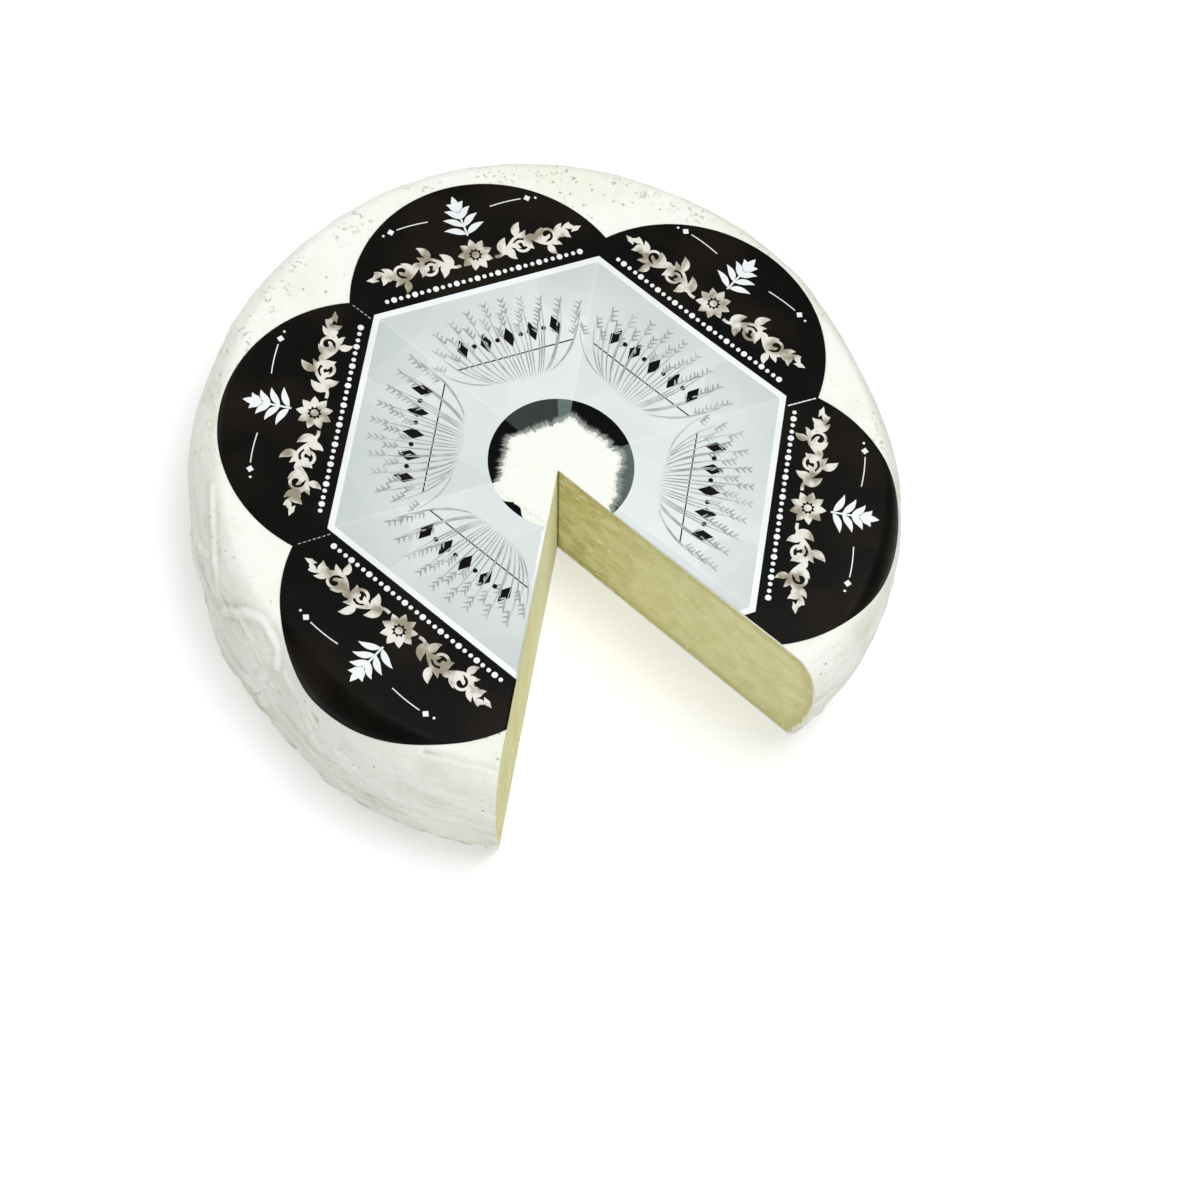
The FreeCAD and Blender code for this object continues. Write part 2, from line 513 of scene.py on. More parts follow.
@dataclass(frozen=True)
class LabelForm:
    """Outline of the paper, six round lobes and a torn hole, and the print that sits off its middle."""

    form: WheelForm
    centre: Pair = (2.35, -5.85)
    notch_angle: float = 90.25
    sector: float = 60.0
    margin: float = 7.4
    lobe_depth: float = 19.0
    hole_offset: Pair = (-0.45, -0.15)
    hole_corner: float = 18.8
    hole_waves: Swells = ((1, 0.3, 20.0), (2, 0.5, 35.0), (3, 0.3, 80.0))
    # Height, pitch in degrees and noise seed of the torn edge's coarse and fine teeth
    hole_teeth: Swells = ((0.45, 2.6, 41), (0.25, 1.1, 42))
    print_centre: Pair = (1.85, -2.6)
    corner_angle: float = 90.7
    hexagon_radius: float = 73.4
    border: float = 1.9
    ring_radius: float = 22.0
    ray_repeats: int = 6

    @property
    def reach(self) -> float:
        """From the paper's centre to the outermost point of a lobe."""
        return self.form.wheel_radius - self.margin

    @property
    def notch_radius(self) -> float:
        """From the paper's centre to the notch between two lobes."""
        return self.reach - self.lobe_depth

    @property
    def half_sector(self) -> float:
        """Half the angle of one sector."""
        return self.sector / 2.0

    def lobe_radius(self, angle: Array) -> Array:
        """Radius of the outline about the paper's centre: the far side of the sector's lobe.

        The lobe is the circle through its outermost point and its two notches.

        Args:
            angle: Angles about the paper's centre.

        Returns:
            Radii.
        """
        half = math.radians(self.half_sector)
        chord = self.notch_radius * math.sin(half)
        rise = self.reach - self.notch_radius * math.cos(half)
        round_radius = (rise * rise + chord * chord) / (2.0 * rise)
        middle = self.reach - round_radius
        turn = np.radians((angle - self.notch_angle) % self.sector - self.half_sector)
        return middle * np.cos(turn) + np.sqrt(round_radius**2 - (middle * np.sin(turn)) ** 2)

    def six_sided(self, angle: Array, corner: float, inset: float = 0.0) -> Array:
        """Radius of a hexagon: its flat's distance over the cosine of the angle from the flat.

        Args:
            angle: Angles about its centre.
            corner: Radius of its corners.
            inset: How far its flats are moved in.

        Returns:
            Radii.
        """
        flat = corner * math.cos(math.radians(self.half_sector)) - inset
        return flat / np.cos(np.radians((angle - self.corner_angle) % self.sector - self.half_sector))

    def torn_radius(self, angle: Array) -> Array:
        """Radius of the torn hole about its own middle: a hexagon with broad waves and fine teeth."""
        radius = self.six_sided(angle, self.hole_corner) + waves(angle, self.hole_waves)
        for height, pitch, seed in self.hole_teeth:
            radius = radius + height * lattice_noise(along_line(angle / pitch), seed)
        return radius

    @property
    def hole_centre(self) -> Array:
        """Middle of the torn hole."""
        return np.array(self.centre) + np.array(self.hole_offset)

    def meets(self, angle: Array, centre: Array, radius_at: Callable[[Array], Array]) -> Array:
        """Distance from the print's centre at which rays meet a curve round another centre.

        Args:
            angle: Directions of the rays.
            centre: Point that the curve's radius is counted from.
            radius_at: Radius of the curve at an angle about its centre.

        Returns:
            Distances along the rays, found by repeating with the angle of the last hit.
        """
        offset = np.asarray(centre) - np.array(self.print_centre)
        direction = unit(angle)
        along = direction @ offset
        aside = np.sum(offset**2) - along**2
        about = angle
        for _ in range(self.ray_repeats):
            length = along + np.sqrt(radius_at(about) ** 2 - aside)
            about = heading(length[..., None] * direction - offset)
        return length

    def to_lobe(self, angle: Array) -> Array:
        """Distance from the print's centre to the edge of the lobes."""
        return self.meets(angle, np.array(self.centre), self.lobe_radius)

    def hexagon_edge(self, angle: Array, inset: float = 0.0) -> Array:
        """Radius of the printed hexagon's side, or of a line inset from it."""
        return self.six_sided(angle, self.hexagon_radius, inset)

    def notch_direction(self, turn: int) -> float:
        """Angle about the print's centre of the notch that belongs to a corner of the hexagon.

        Args:
            turn: Number of the corner, counted from the one at the corner angle.

        Returns:
            The angle, within half a turn of the corner's own.
        """
        notch = np.array(self.centre) + self.notch_radius * unit(self.notch_angle + self.sector * turn)
        corner = self.corner_angle + self.sector * turn
        return corner + float(turn_between(heading(notch - np.array(self.print_centre)), corner))

    def plan(self, angle: Array, radius: Array) -> Array:
        """Plan points from an angle and a radius about the print's centre."""
        return np.array(self.print_centre) + np.asarray(radius)[..., None] * unit(angle)

    def inside(self, plan: Array) -> Array:
        """How far plan points lie inside the paper, negative outside it."""
        spot, hole = plan - np.array(self.centre), plan - self.hole_centre
        outer, inner = self.lobe_radius(heading(spot)), self.torn_radius(heading(hole))
        return np.minimum(outer - np.linalg.norm(spot, axis=-1), np.linalg.norm(hole, axis=-1) - inner)


# ---------------------------------------------------------------- finishes


def srgb(red: int, green: int, blue: int) -> Colour:
    """Linear colour for three screen values from 0 to 255, by the sRGB curve."""
    shares = [value / 255.0 for value in (red, green, blue)]
    return tuple(s / 12.92 if s <= 0.04045 else ((s + 0.055) / 1.055) ** 2.4 for s in shares)


class Flow:
    """Number on its way through a material; arithmetic on it adds Math nodes."""

    def __init__(self, recipe: "Recipe", socket: bpy.types.NodeSocket) -> None:
        """Wrap an output socket of a recipe's node."""
        self.recipe = recipe
        self.socket = socket

    def math(self, operation: str, first: "Flow | float", second: "Flow | float" = 0.0) -> "Flow":
        """Math node of an operation on two values."""
        return self.recipe.math_node(operation, first, second)

    def __add__(self, other: "Flow | float") -> "Flow":
        """Sum."""
        return self.math("ADD", self, other)

    __radd__ = __add__

    def __sub__(self, other: "Flow | float") -> "Flow":
        """Difference."""
        return self.math("SUBTRACT", self, other)

    def __rsub__(self, other: float) -> "Flow":
        """Difference from a number."""
        return self.math("SUBTRACT", other, self)

    def __mul__(self, other: "Flow | float") -> "Flow":
        """Product."""
        return self.math("MULTIPLY", self, other)

    __rmul__ = __mul__

    def __truediv__(self, other: "Flow | float") -> "Flow":
        """Quotient."""
        return self.math("DIVIDE", self, other)

    def __pow__(self, other: float) -> "Flow":
        """Power."""
        return self.math("POWER", self, other)

    def __gt__(self, other: "Flow | float") -> "Flow":
        """One where this is the greater, else zero."""
        return self.math("GREATER_THAN", self, other)

    def __lt__(self, other: "Flow | float") -> "Flow":
        """One where this is the smaller, else zero."""
        return self.math("LESS_THAN", self, other)

    def size(self) -> "Flow":
        """Value without its sign."""
        return self.math("ABSOLUTE", self)

    def floor(self) -> "Flow":
        """Whole number at or below the value."""
        return self.math("FLOOR", self)

    def ease(self, start: float, end: float) -> "Flow":
        """Smooth step from zero at start to one at end."""
        inputs = {"Value": self, "From Min": start, "From Max": end}
        return self.recipe.node("ShaderNodeMapRange", {"interpolation_type": "SMOOTHSTEP"}, inputs)


class Recipe:
    """Node tree of one material, built from calls that each add a node."""

    def __init__(self, name: str) -> None:
        """Start an empty material of a name."""
        self.material = bpy.data.materials.new(name)
        self.material.use_nodes = True
        self.tree = self.material.node_tree
        self.tree.nodes.clear()

    def node(self, kind: str, settings: dict, inputs: dict, output: int | str = 0) -> Flow:
        """Add a node.

        Args:
            kind: Blender's name of the node type.
            settings: Values of the node's own properties, set first.
            inputs: Values or flows of its sockets, by name or number.
            output: Socket to hand on.

        Returns:
            The chosen output.
        """
        made = self.tree.nodes.new(kind)
        for key, value in settings.items():
            setattr(made, key, value)
        for key, value in inputs.items():
            if isinstance(value, Flow):
                self.tree.links.new(value.socket, made.inputs[key])
            else:
                made.inputs[key].default_value = value
        return Flow(self, made.outputs[output])

    def math_node(self, operation: str, first: "Flow | float", second: "Flow | float") -> Flow:
        """Math node of an operation on two values."""
        return self.node("ShaderNodeMath", {"operation": operation}, {0: first, 1: second})

    def place(self) -> Flow:
        """Position in the model's frame, in millimetres."""
        return self.stretch(self.node("ShaderNodeTexCoord", {}, {}, "Object"), (1.0 / METRE,) * 3)

    def axis(self, vector: Flow, which: int) -> Flow:
        """One coordinate of a vector."""
        return self.node("ShaderNodeSeparateXYZ", {}, {0: vector}, which)

    def stretch(self, vector: Flow, scale: Triple) -> Flow:
        """Vector with each coordinate scaled."""
        return self.node("ShaderNodeVectorMath", {"operation": "MULTIPLY"}, {0: vector, 1: scale})

    def noise(self, vector: Flow, size: float, detail: float = 2.0, roughness: float = 0.5) -> Flow:
        """Noise from 0 to 1.

        Args:
            vector: Place in millimetres.
            size: Size of its features.
            detail: How many finer layers it has.
            roughness: Strength of each layer beside the one before.

        Returns:
            The noise.
        """
        inputs = {"Vector": vector, "Scale": 1.0 / size, "Detail": detail, "Roughness": roughness}
        return self.node("ShaderNodeTexNoise", {}, inputs, "Fac")

    def specks(self, vector: Flow, size: float) -> Flow:
        """Distance from the nearest of many scattered points, in cells of a size."""
        inputs = {"Vector": vector, "Scale": 1.0 / size, "Randomness": 1.0}
        return self.node("ShaderNodeTexVoronoi", {}, inputs, "Distance")

    def carried(self, name: str) -> Flow:
        """Number that each vertex carries under a name."""
        return self.node("ShaderNodeAttribute", {"attribute_name": name}, {}, "Fac")

    def blend(self, share: Flow, first: "Flow | Colour", second: "Flow | Colour") -> Flow:
        """Colour between two others.

        Args:
            share: Zero for the first, one for the second.
            first: First colour.
            second: Second colour.

        Returns:
            The blend.
        """
        made = self.tree.nodes.new("ShaderNodeMix")
        made.data_type = "RGBA"
        self.tree.links.new(share.socket, made.inputs[0])
        for number, value in ((6, first), (7, second)):
            if isinstance(value, Flow):
                self.tree.links.new(value.socket, made.inputs[number])
            else:
                made.inputs[number].default_value = (*value, 1.0)
        return Flow(self, made.outputs[2])

    def about(self, place: Flow, centre: Pair) -> tuple[Flow, Flow]:
        """Polar place round a plan point.

        Args:
            place: Place in millimetres.
            centre: Plan point.

        Returns:
            Angle from 0 to 360 degrees, and radius.
        """
        east, north = self.axis(place, 0) - centre[0], self.axis(place, 1) - centre[1]
        turn = self.math_node("ARCTAN2", north, east) * (180.0 / math.pi)
        return self.whole_turn(turn), (east * east + north * north) ** 0.5

    def whole_turn(self, angle: Flow) -> Flow:
        """Angle brought between 0 and 360 degrees."""
        return self.math_node("FLOORED_MODULO", angle, 360.0)

    def chosen(self, index: Flow, values: tuple[tuple[int, float], ...]) -> Flow:
        """Value of a table at a whole number, zero where the table has none.

        Args:
            index: Whole number.
            values: Pairs of a number and its value.

        Returns:
            The value.
        """
        total = index * 0.0
        for number, value in values:
            total = total + ((0.5 > (index - number).size()) * value)
        return total

    def relief(self, height: Flow, depth: float) -> Flow:
        """Normal for a height from 0 to 1 that stands for a depth in millimetres."""
        inputs = {"Height": height, "Distance": depth * METRE, "Strength": 1.0}
        return self.node("ShaderNodeBump", {}, inputs, "Normal")

    def finish(
        self, colour: Flow, roughness: "Flow | float", **sockets: "Flow | float"
    ) -> bpy.types.Material:
        """Close the recipe with a Principled surface.

        Args:
            colour: Base colour.
            roughness: Roughness.
            sockets: Other sockets, with underscores for the blanks in their names.

        Returns:
            The finished material.
        """
        inputs = {"Base Color": colour, "Roughness": roughness}
        inputs.update({name.replace("_", " "): value for name, value in sockets.items()})
        surface = self.node("ShaderNodeBsdfPrincipled", {}, inputs)
        return self.close(surface)

    def close(self, surface: Flow) -> bpy.types.Material:
        """Link a surface to the material's output and hand the material on."""
        made = self.tree.nodes.new("ShaderNodeOutputMaterial")
        self.tree.links.new(surface.socket, made.inputs["Surface"])
        return self.material


@dataclass(frozen=True)
class Blotches:
    """Noise of a size in millimetres, eased from 0 at a low value of it to 1 at a high one."""

    size: float
    low: float
    high: float
    detail: float = 2.0
    roughness: float = 0.5
    stretch: Triple | None = None

    def over(self, recipe: Recipe, place: Flow) -> Flow:
        """Share from 0 to 1 at a place, whose coordinates are scaled first where a stretch is given."""
        spot = recipe.stretch(place, self.stretch) if self.stretch else place
        return recipe.noise(spot, self.size, self.detail, self.roughness).ease(self.low, self.high)


@dataclass(frozen=True)
class RindFinish:
    """Dry white mould coat: chalky and pitted. Painted shade makes it greyer and greener in its hollows and
    greyer on its side, and darkens its olive foot.
    """

    coat: Colour = srgb(243, 245, 237)
    shade: Colour = srgb(227, 232, 209)
    # Grey of the side below the top: partly mottling, partly painted shade of the side
    grey: Colour = srgb(211, 214, 197)
    # Painted shade: the colour that the hollows of the folds darken to
    hollow: Colour = srgb(184, 188, 160)
    speck: Colour = srgb(160, 162, 142)
    # Olive of the foot, deepened by painted shade near the base
    foot: Colour = srgb(176, 174, 134)
    cloud: Blotches = Blotches(30.0, 0.44, 0.68, 3.0)
    mottle: Blotches = Blotches(7.0, 0.50, 0.76, 4.0, 0.6)
    smear_and_shade: Blotches = Blotches(11.0, 0.46, 0.70, 3.0, 0.6, (0.5, 0.5, 1.6))
    dash_cluster: Blotches = Blotches(11.0, 0.44, 0.60)
    dash: Blotches = Blotches(1.5, 0.60, 0.68, 2.0, 0.6)
    # Heights and radii over which each change runs from none to full
    top_from: Pair = (34.0, 56.0)
    outer_from: Pair = (30.0, 80.0)
    shoulder_radii: Pair = (90.0, 99.0)
    shoulder_heights: Pair = (36.0, 50.0)
    foot_tint_and_shade_ends: Pair = (0.5, 9.0)
    ledges_end: Pair = (6.0, 14.0)
    hollow_shade_depths: Pair = (0.60, 1.7)
    dashes_towards_back: Pair = (-50.0, 10.0)
    relief_depth: float = 0.60

    def lines(self, recipe: Recipe, place: Flow, size: float, half_width: float) -> Flow:
        """Thin lines where a noise crosses its middle value."""
        return 1.0 - (recipe.noise(place, size, 2.0, 0.5) * 2.0 - 1.0).size().ease(0.0, half_width)

    def pinholes(self, recipe: Recipe, place: Flow, spacing: float, reach: float) -> Flow:
        """Sparse dark pinholes, one at most in each cell of a spacing, in clusters of a reach."""
        cluster = recipe.noise(place, reach, 2.0).ease(0.50, 0.62)
        return (1.0 - recipe.specks(place, spacing).ease(0.07, 0.16)) * cluster

    def material(self) -> bpy.types.Material:
        """Build the material; vertices carry the depth of their hollow."""
        recipe = Recipe("white_rind")
        place, depth = recipe.place(), recipe.carried(DEPTH)
        radius = recipe.about(place, (0.0, 0.0))[1]
        height = recipe.axis(place, 2)
        below = 1.0 - height.ease(*self.top_from)
        outer = radius.ease(*self.outer_from)
        shoulder = radius.ease(*self.shoulder_radii) * height.ease(*self.shoulder_heights)
        cloud, mottle, smear_and_shade = (spots.over(recipe, place) for spots in (self.cloud, self.mottle, self.smear_and_shade))
        wrinkle = self.lines(recipe, recipe.stretch(place, (0.6, 0.6, 1.3)), 7.5, 0.16)
        ledge = self.lines(recipe, recipe.stretch(place, (0.35, 0.35, 2.2)), 6.0, 0.22)
        ledge = ledge * (1.0 - height.ease(*self.ledges_end))
        colour = recipe.blend((cloud * 0.45 + mottle * 0.35) * outer, self.coat, self.shade)
        # Grey smears below the top: partly mottling, partly painted shade of the side
        colour = recipe.blend(smear_and_shade * below * 0.6, colour, self.grey)
        low = 1.0 - height.ease(*self.foot_tint_and_shade_ends)
        # Darker and more olive towards the base: the rind's olive foot, with painted shade under the wheel
        colour = recipe.blend(low * (mottle * 0.5 + 0.45), colour, self.foot)
        # Painted shade in the hollows, darker where they are deeper
        colour = recipe.blend(depth.ease(*self.hollow_shade_depths) * 0.8, colour, self.hollow)
        backwards = recipe.axis(place, 1).ease(*self.dashes_towards_back) * 0.8 + 0.2
        cluster = self.dash_cluster.over(recipe, place) * backwards
        dashes = self.dash.over(recipe, place) * cluster * shoulder
        pinholes = self.pinholes(recipe, place, 3.2, 14.0) + self.pinholes(recipe, place, 1.7, 9.0) * 0.6
        pinholes = pinholes * outer
        colour = recipe.blend(dashes * 0.45 + pinholes * 0.7, colour, self.speck)
        grain = recipe.noise(place, 0.8, 4.0, 0.65) * 0.22
        crumb = recipe.noise(place, 3.0, 3.0, 0.55) * 0.45
        bumps = grain + crumb + wrinkle * below * 0.5 + ledge * 0.6 - (pinholes + dashes) * 0.5
        normal = recipe.relief(bumps, self.relief_depth)
        glow = {"Subsurface_Weight": 0.05, "Subsurface_Scale": 0.002}
        return recipe.finish(colour, 0.80, Normal=normal, Specular_IOR_Level=0.25, **glow)


@dataclass(frozen=True)
class PasteFinish:
    """Smooth ivory paste: darker under the rind and streaked by the knife, with painted shade at the tip,
    along the tip line and on the right face, and painted light on the left face near the tip.
    """

    form: WheelForm
    core: Colour = srgb(230, 227, 172)
    warm: Colour = srgb(212, 206, 140)
    # Colour of the paste's darker edge under the rind, and of the painted shade on the right face and at the
    # tip
    rind_edge_and_shade: Colour = srgb(188, 178, 102)
    # White of the flecks, also used for painted light on the left face near the tip
    fleck_and_light: Colour = srgb(240, 239, 206)
    # Painted shade along the tip line, in the inner corner where the two cuts meet
    crease: Colour = srgb(120, 104, 48)
    coat: Colour = srgb(243, 243, 230)
    cloud: Blotches = Blotches(8.0, 0.38, 0.64, 4.0, 0.65)
    streaks: Blotches = Blotches(1.7, 0.40, 0.72, 3.0, 0.6, (0.22, 0.22, 1.0))
    flecks: Blotches = Blotches(1.3, 0.57, 0.64, stretch=(0.45, 0.45, 1.0))
    fleck_cluster: Blotches = Blotches(9.0, 0.46, 0.58)
    # Distances from the tip line over which the right face's painted shade, the left face's painted light and
    # the painted shade along the tip line fade
    shade_ends: Pair = (4.0, 44.0)
    light_ends: Pair = (22.0, 60.0)
    tip_line_shade_ends: Pair = (0.3, 1.0)
    # Distances from the rind over which its tint, with painted shade on the right face, and its cut coat fade
    tint_ends: Pair = (1.0, 7.0)
    coat_ends: Pair = (0.80, 1.2)
    relief_depth: float = 0.40

    def from_tip(self, recipe: Recipe, place: Flow) -> list[Flow]:
        """Steps along X and Y from the leaning line where the two cuts meet.

        Args:
            recipe: Material under way.
            place: Place in millimetres.

        Returns:
            The two steps.
        """
        share = recipe.axis(place, 2) / self.form.centre_height
        steps = []
        for axis, (low, high) in enumerate(zip(self.form.tip_base, self.form.tip_top)):
            steps.append(recipe.axis(place, axis) - (share * (high - low) + low))
        return steps

    def material(self) -> bpy.types.Material:
        """Build the material; vertices carry their distance from the rind."""
        recipe = Recipe("ivory_paste")
        place, gap = recipe.place(), recipe.carried(DEPTH)
        east, north = self.from_tip(recipe, place)
        reach = (east * east + north * north) ** 0.5
        on_left = east + north * 0.3 < 0.0
        ragged = recipe.noise(place, 1.5, 3.0, 0.6)
        cloud, streaks = self.cloud.over(recipe, place), self.streaks.over(recipe, place)
        colour = recipe.blend(cloud * 0.60 + streaks * 0.18, self.core, self.warm)
        # Painted shade on the right face, darkest at the tip
        dark = (1.0 - reach.ease(*self.shade_ends)) * (cloud * 0.65 + 0.22) * (1.0 - on_left)
        # Darker next to the rind: the paste's own edge, made stronger on the right face as painted shade
        tint = (1.0 - gap.ease(*self.tint_ends)) * (0.50 - on_left * 0.35)
        colour = recipe.blend(dark + tint, colour, self.rind_edge_and_shade)
        # Painted light: the left face lighter near the tip
        colour = recipe.blend((1.0 - reach.ease(*self.light_ends)) * on_left * 0.85, colour, self.fleck_and_light)
        flecks = self.flecks.over(recipe, place) * self.fleck_cluster.over(recipe, place)
        colour = recipe.blend(flecks * 0.8, colour, self.fleck_and_light)
        # Painted shade along the tip line where the two cut faces meet
        colour = recipe.blend(1.0 - (reach + ragged * 0.4).ease(*self.tip_line_shade_ends), colour, self.crease)
        edge = 1.0 - (gap + (ragged - 0.5) * 1.6).ease(*self.coat_ends)
        colour = recipe.blend(edge, colour, self.coat)
        bumps = streaks * 0.35 + recipe.noise(place, 1.1, 4.0, 0.6) * 0.4 + flecks * 0.3
        normal = recipe.relief(bumps, self.relief_depth)
        return recipe.finish(colour, 0.55, Normal=normal, Subsurface_Weight=0.10, Subsurface_Scale=0.003)


def paper_grain(recipe: Recipe, place: Flow) -> Flow:
    """Normal of coated paper: fine fibres over a slow cockle."""
    return recipe.relief(recipe.noise(place, 0.7, 3.0) * 0.3 + recipe.noise(place, 9.0, 2.0) * 0.7, 0.10)


@dataclass(frozen=True)
class PrintField:
    """Plain field of print on coated paper, between two tones that drift slowly; in the black print the
    second, brownish tone is painted sheen.
    """

    name: str
    tone: Colour
    other: Colour
    drift: float = 30.0
    rough: float = 0.34
    shine: float = 0.5

    def material(self) -> bpy.types.Material:
        """Build the material."""
        recipe = Recipe(self.name)
        place = recipe.place()
        share = recipe.noise(place, self.drift, 2.0).ease(0.40, 0.66)
        colour = recipe.blend(share, self.tone, self.other)
        scuff = recipe.noise(place, 4.0, 5.0, 0.7).ease(0.45, 0.75)
        normal = paper_grain(recipe, place)
        return recipe.finish(colour, scuff * 0.12 + self.rough, Normal=normal, Specular_IOR_Level=self.shine)


def studio_floor() -> bpy.types.Material:
    """Pale floor that the camera sees a little lighter than it is, with its shadows kept."""
    recipe = Recipe("pale_floor")
    matt = recipe.node("ShaderNodeBsdfDiffuse", {}, {"Color": (0.80, 0.80, 0.80, 1.0)})
    glow = recipe.node("ShaderNodeEmission", {}, {"Color": WHITE, "Strength": 0.30})
    both = recipe.node("ShaderNodeAddShader", {}, {0: matt, 1: glow})
    seen = recipe.node("ShaderNodeLightPath", {}, {}, "Is Camera Ray")
    mixed = recipe.node("ShaderNodeMixShader", {}, {0: seen, 1: matt, 2: both})
    return recipe.close(mixed)


# ---------------------------------------------------------------- the cheese


@dataclass(frozen=True)
class Ridges:
    """Thin ridges of the unrolled side, where a stretched noise crosses zero.

    Attributes:
        length: How far they run along the rim.
        spacing: How far apart they lie down the side.
        slope: How far they sink for each millimetre along the rim.
        warp: How much of the side's common warp bends them.
        sharpness: Power that narrows them.
        height: Their height.
        seed: Number of their noise.
    """

    length: float
    spacing: float
    slope: float
    warp: float
    sharpness: int
    height: float
    seed: int

    def relief(self, arc: Array, way: Array, warp: Array) -> Array:
        """Height of the ridges, the power of one less the noise's size.

        Args:
            arc: Way along the rim.
            way: Way down the side.
            warp: Common warp of the side.

        Returns:
            Heights.
        """
        down = (warp * self.warp - way + self.slope * arc) / self.spacing
        noise = lattice_noise(np.stack([arc / self.length, down], axis=-1), self.seed)
        return (1.0 - np.abs(noise)) ** self.sharpness * self.height


@dataclass(frozen=True)
class RaggedFoot:
    """Lip a little above the base and the crumpled draw-in below it."""

    lip_at: float = 5.0
    lip_height: float = 0.9
    lip_width: float = 1.4
    wander: float = 2.0
    wander_length: float = 24.0
    wander_seed: int = 11
    second_above: float = 4.6
    second_height: float = 0.6
    second_width: float = 1.0
    second_from: float = 232.0
    second_fade: float = 8.0
    draw_in: float = 0.9
    draw_in_ends: Pair = (0.5, 4.5)
    crumple_size: Pair = (4.0, 3.0)
    crumple_seed: int = 12

    def relief(self, angle: Array, arc: Array, height: Array) -> Array:
        """Height over the form: a bell about a wandering line, and a second one at the front.

        Args:
            angle: Angles of the columns.
            arc: Way along the rim.
            height: Heights of the points.

        Returns:
            Heights, less than zero in the draw-in.
        """
        wander = lattice_noise(along_line(arc / self.wander_length), self.wander_seed)
        line = self.lip_at + self.wander * wander
        across = np.stack([arc / self.crumple_size[0], height / self.crumple_size[1]], axis=-1)
        crumple = lattice_noise(across, self.crumple_seed)
        front = ease(turn_between(angle, self.second_from), -self.second_fade, self.second_fade)
        second = self.second_height * front * bell(height - line - self.second_above, self.second_width)
        lip = self.lip_height * bell(height - line, self.lip_width) + second
        below = self.draw_in * (1.0 - ease(height, *self.draw_in_ends))
        return lip * (0.8 + 0.8 * crumple) - below * (0.4 + 1.0 * crumple)


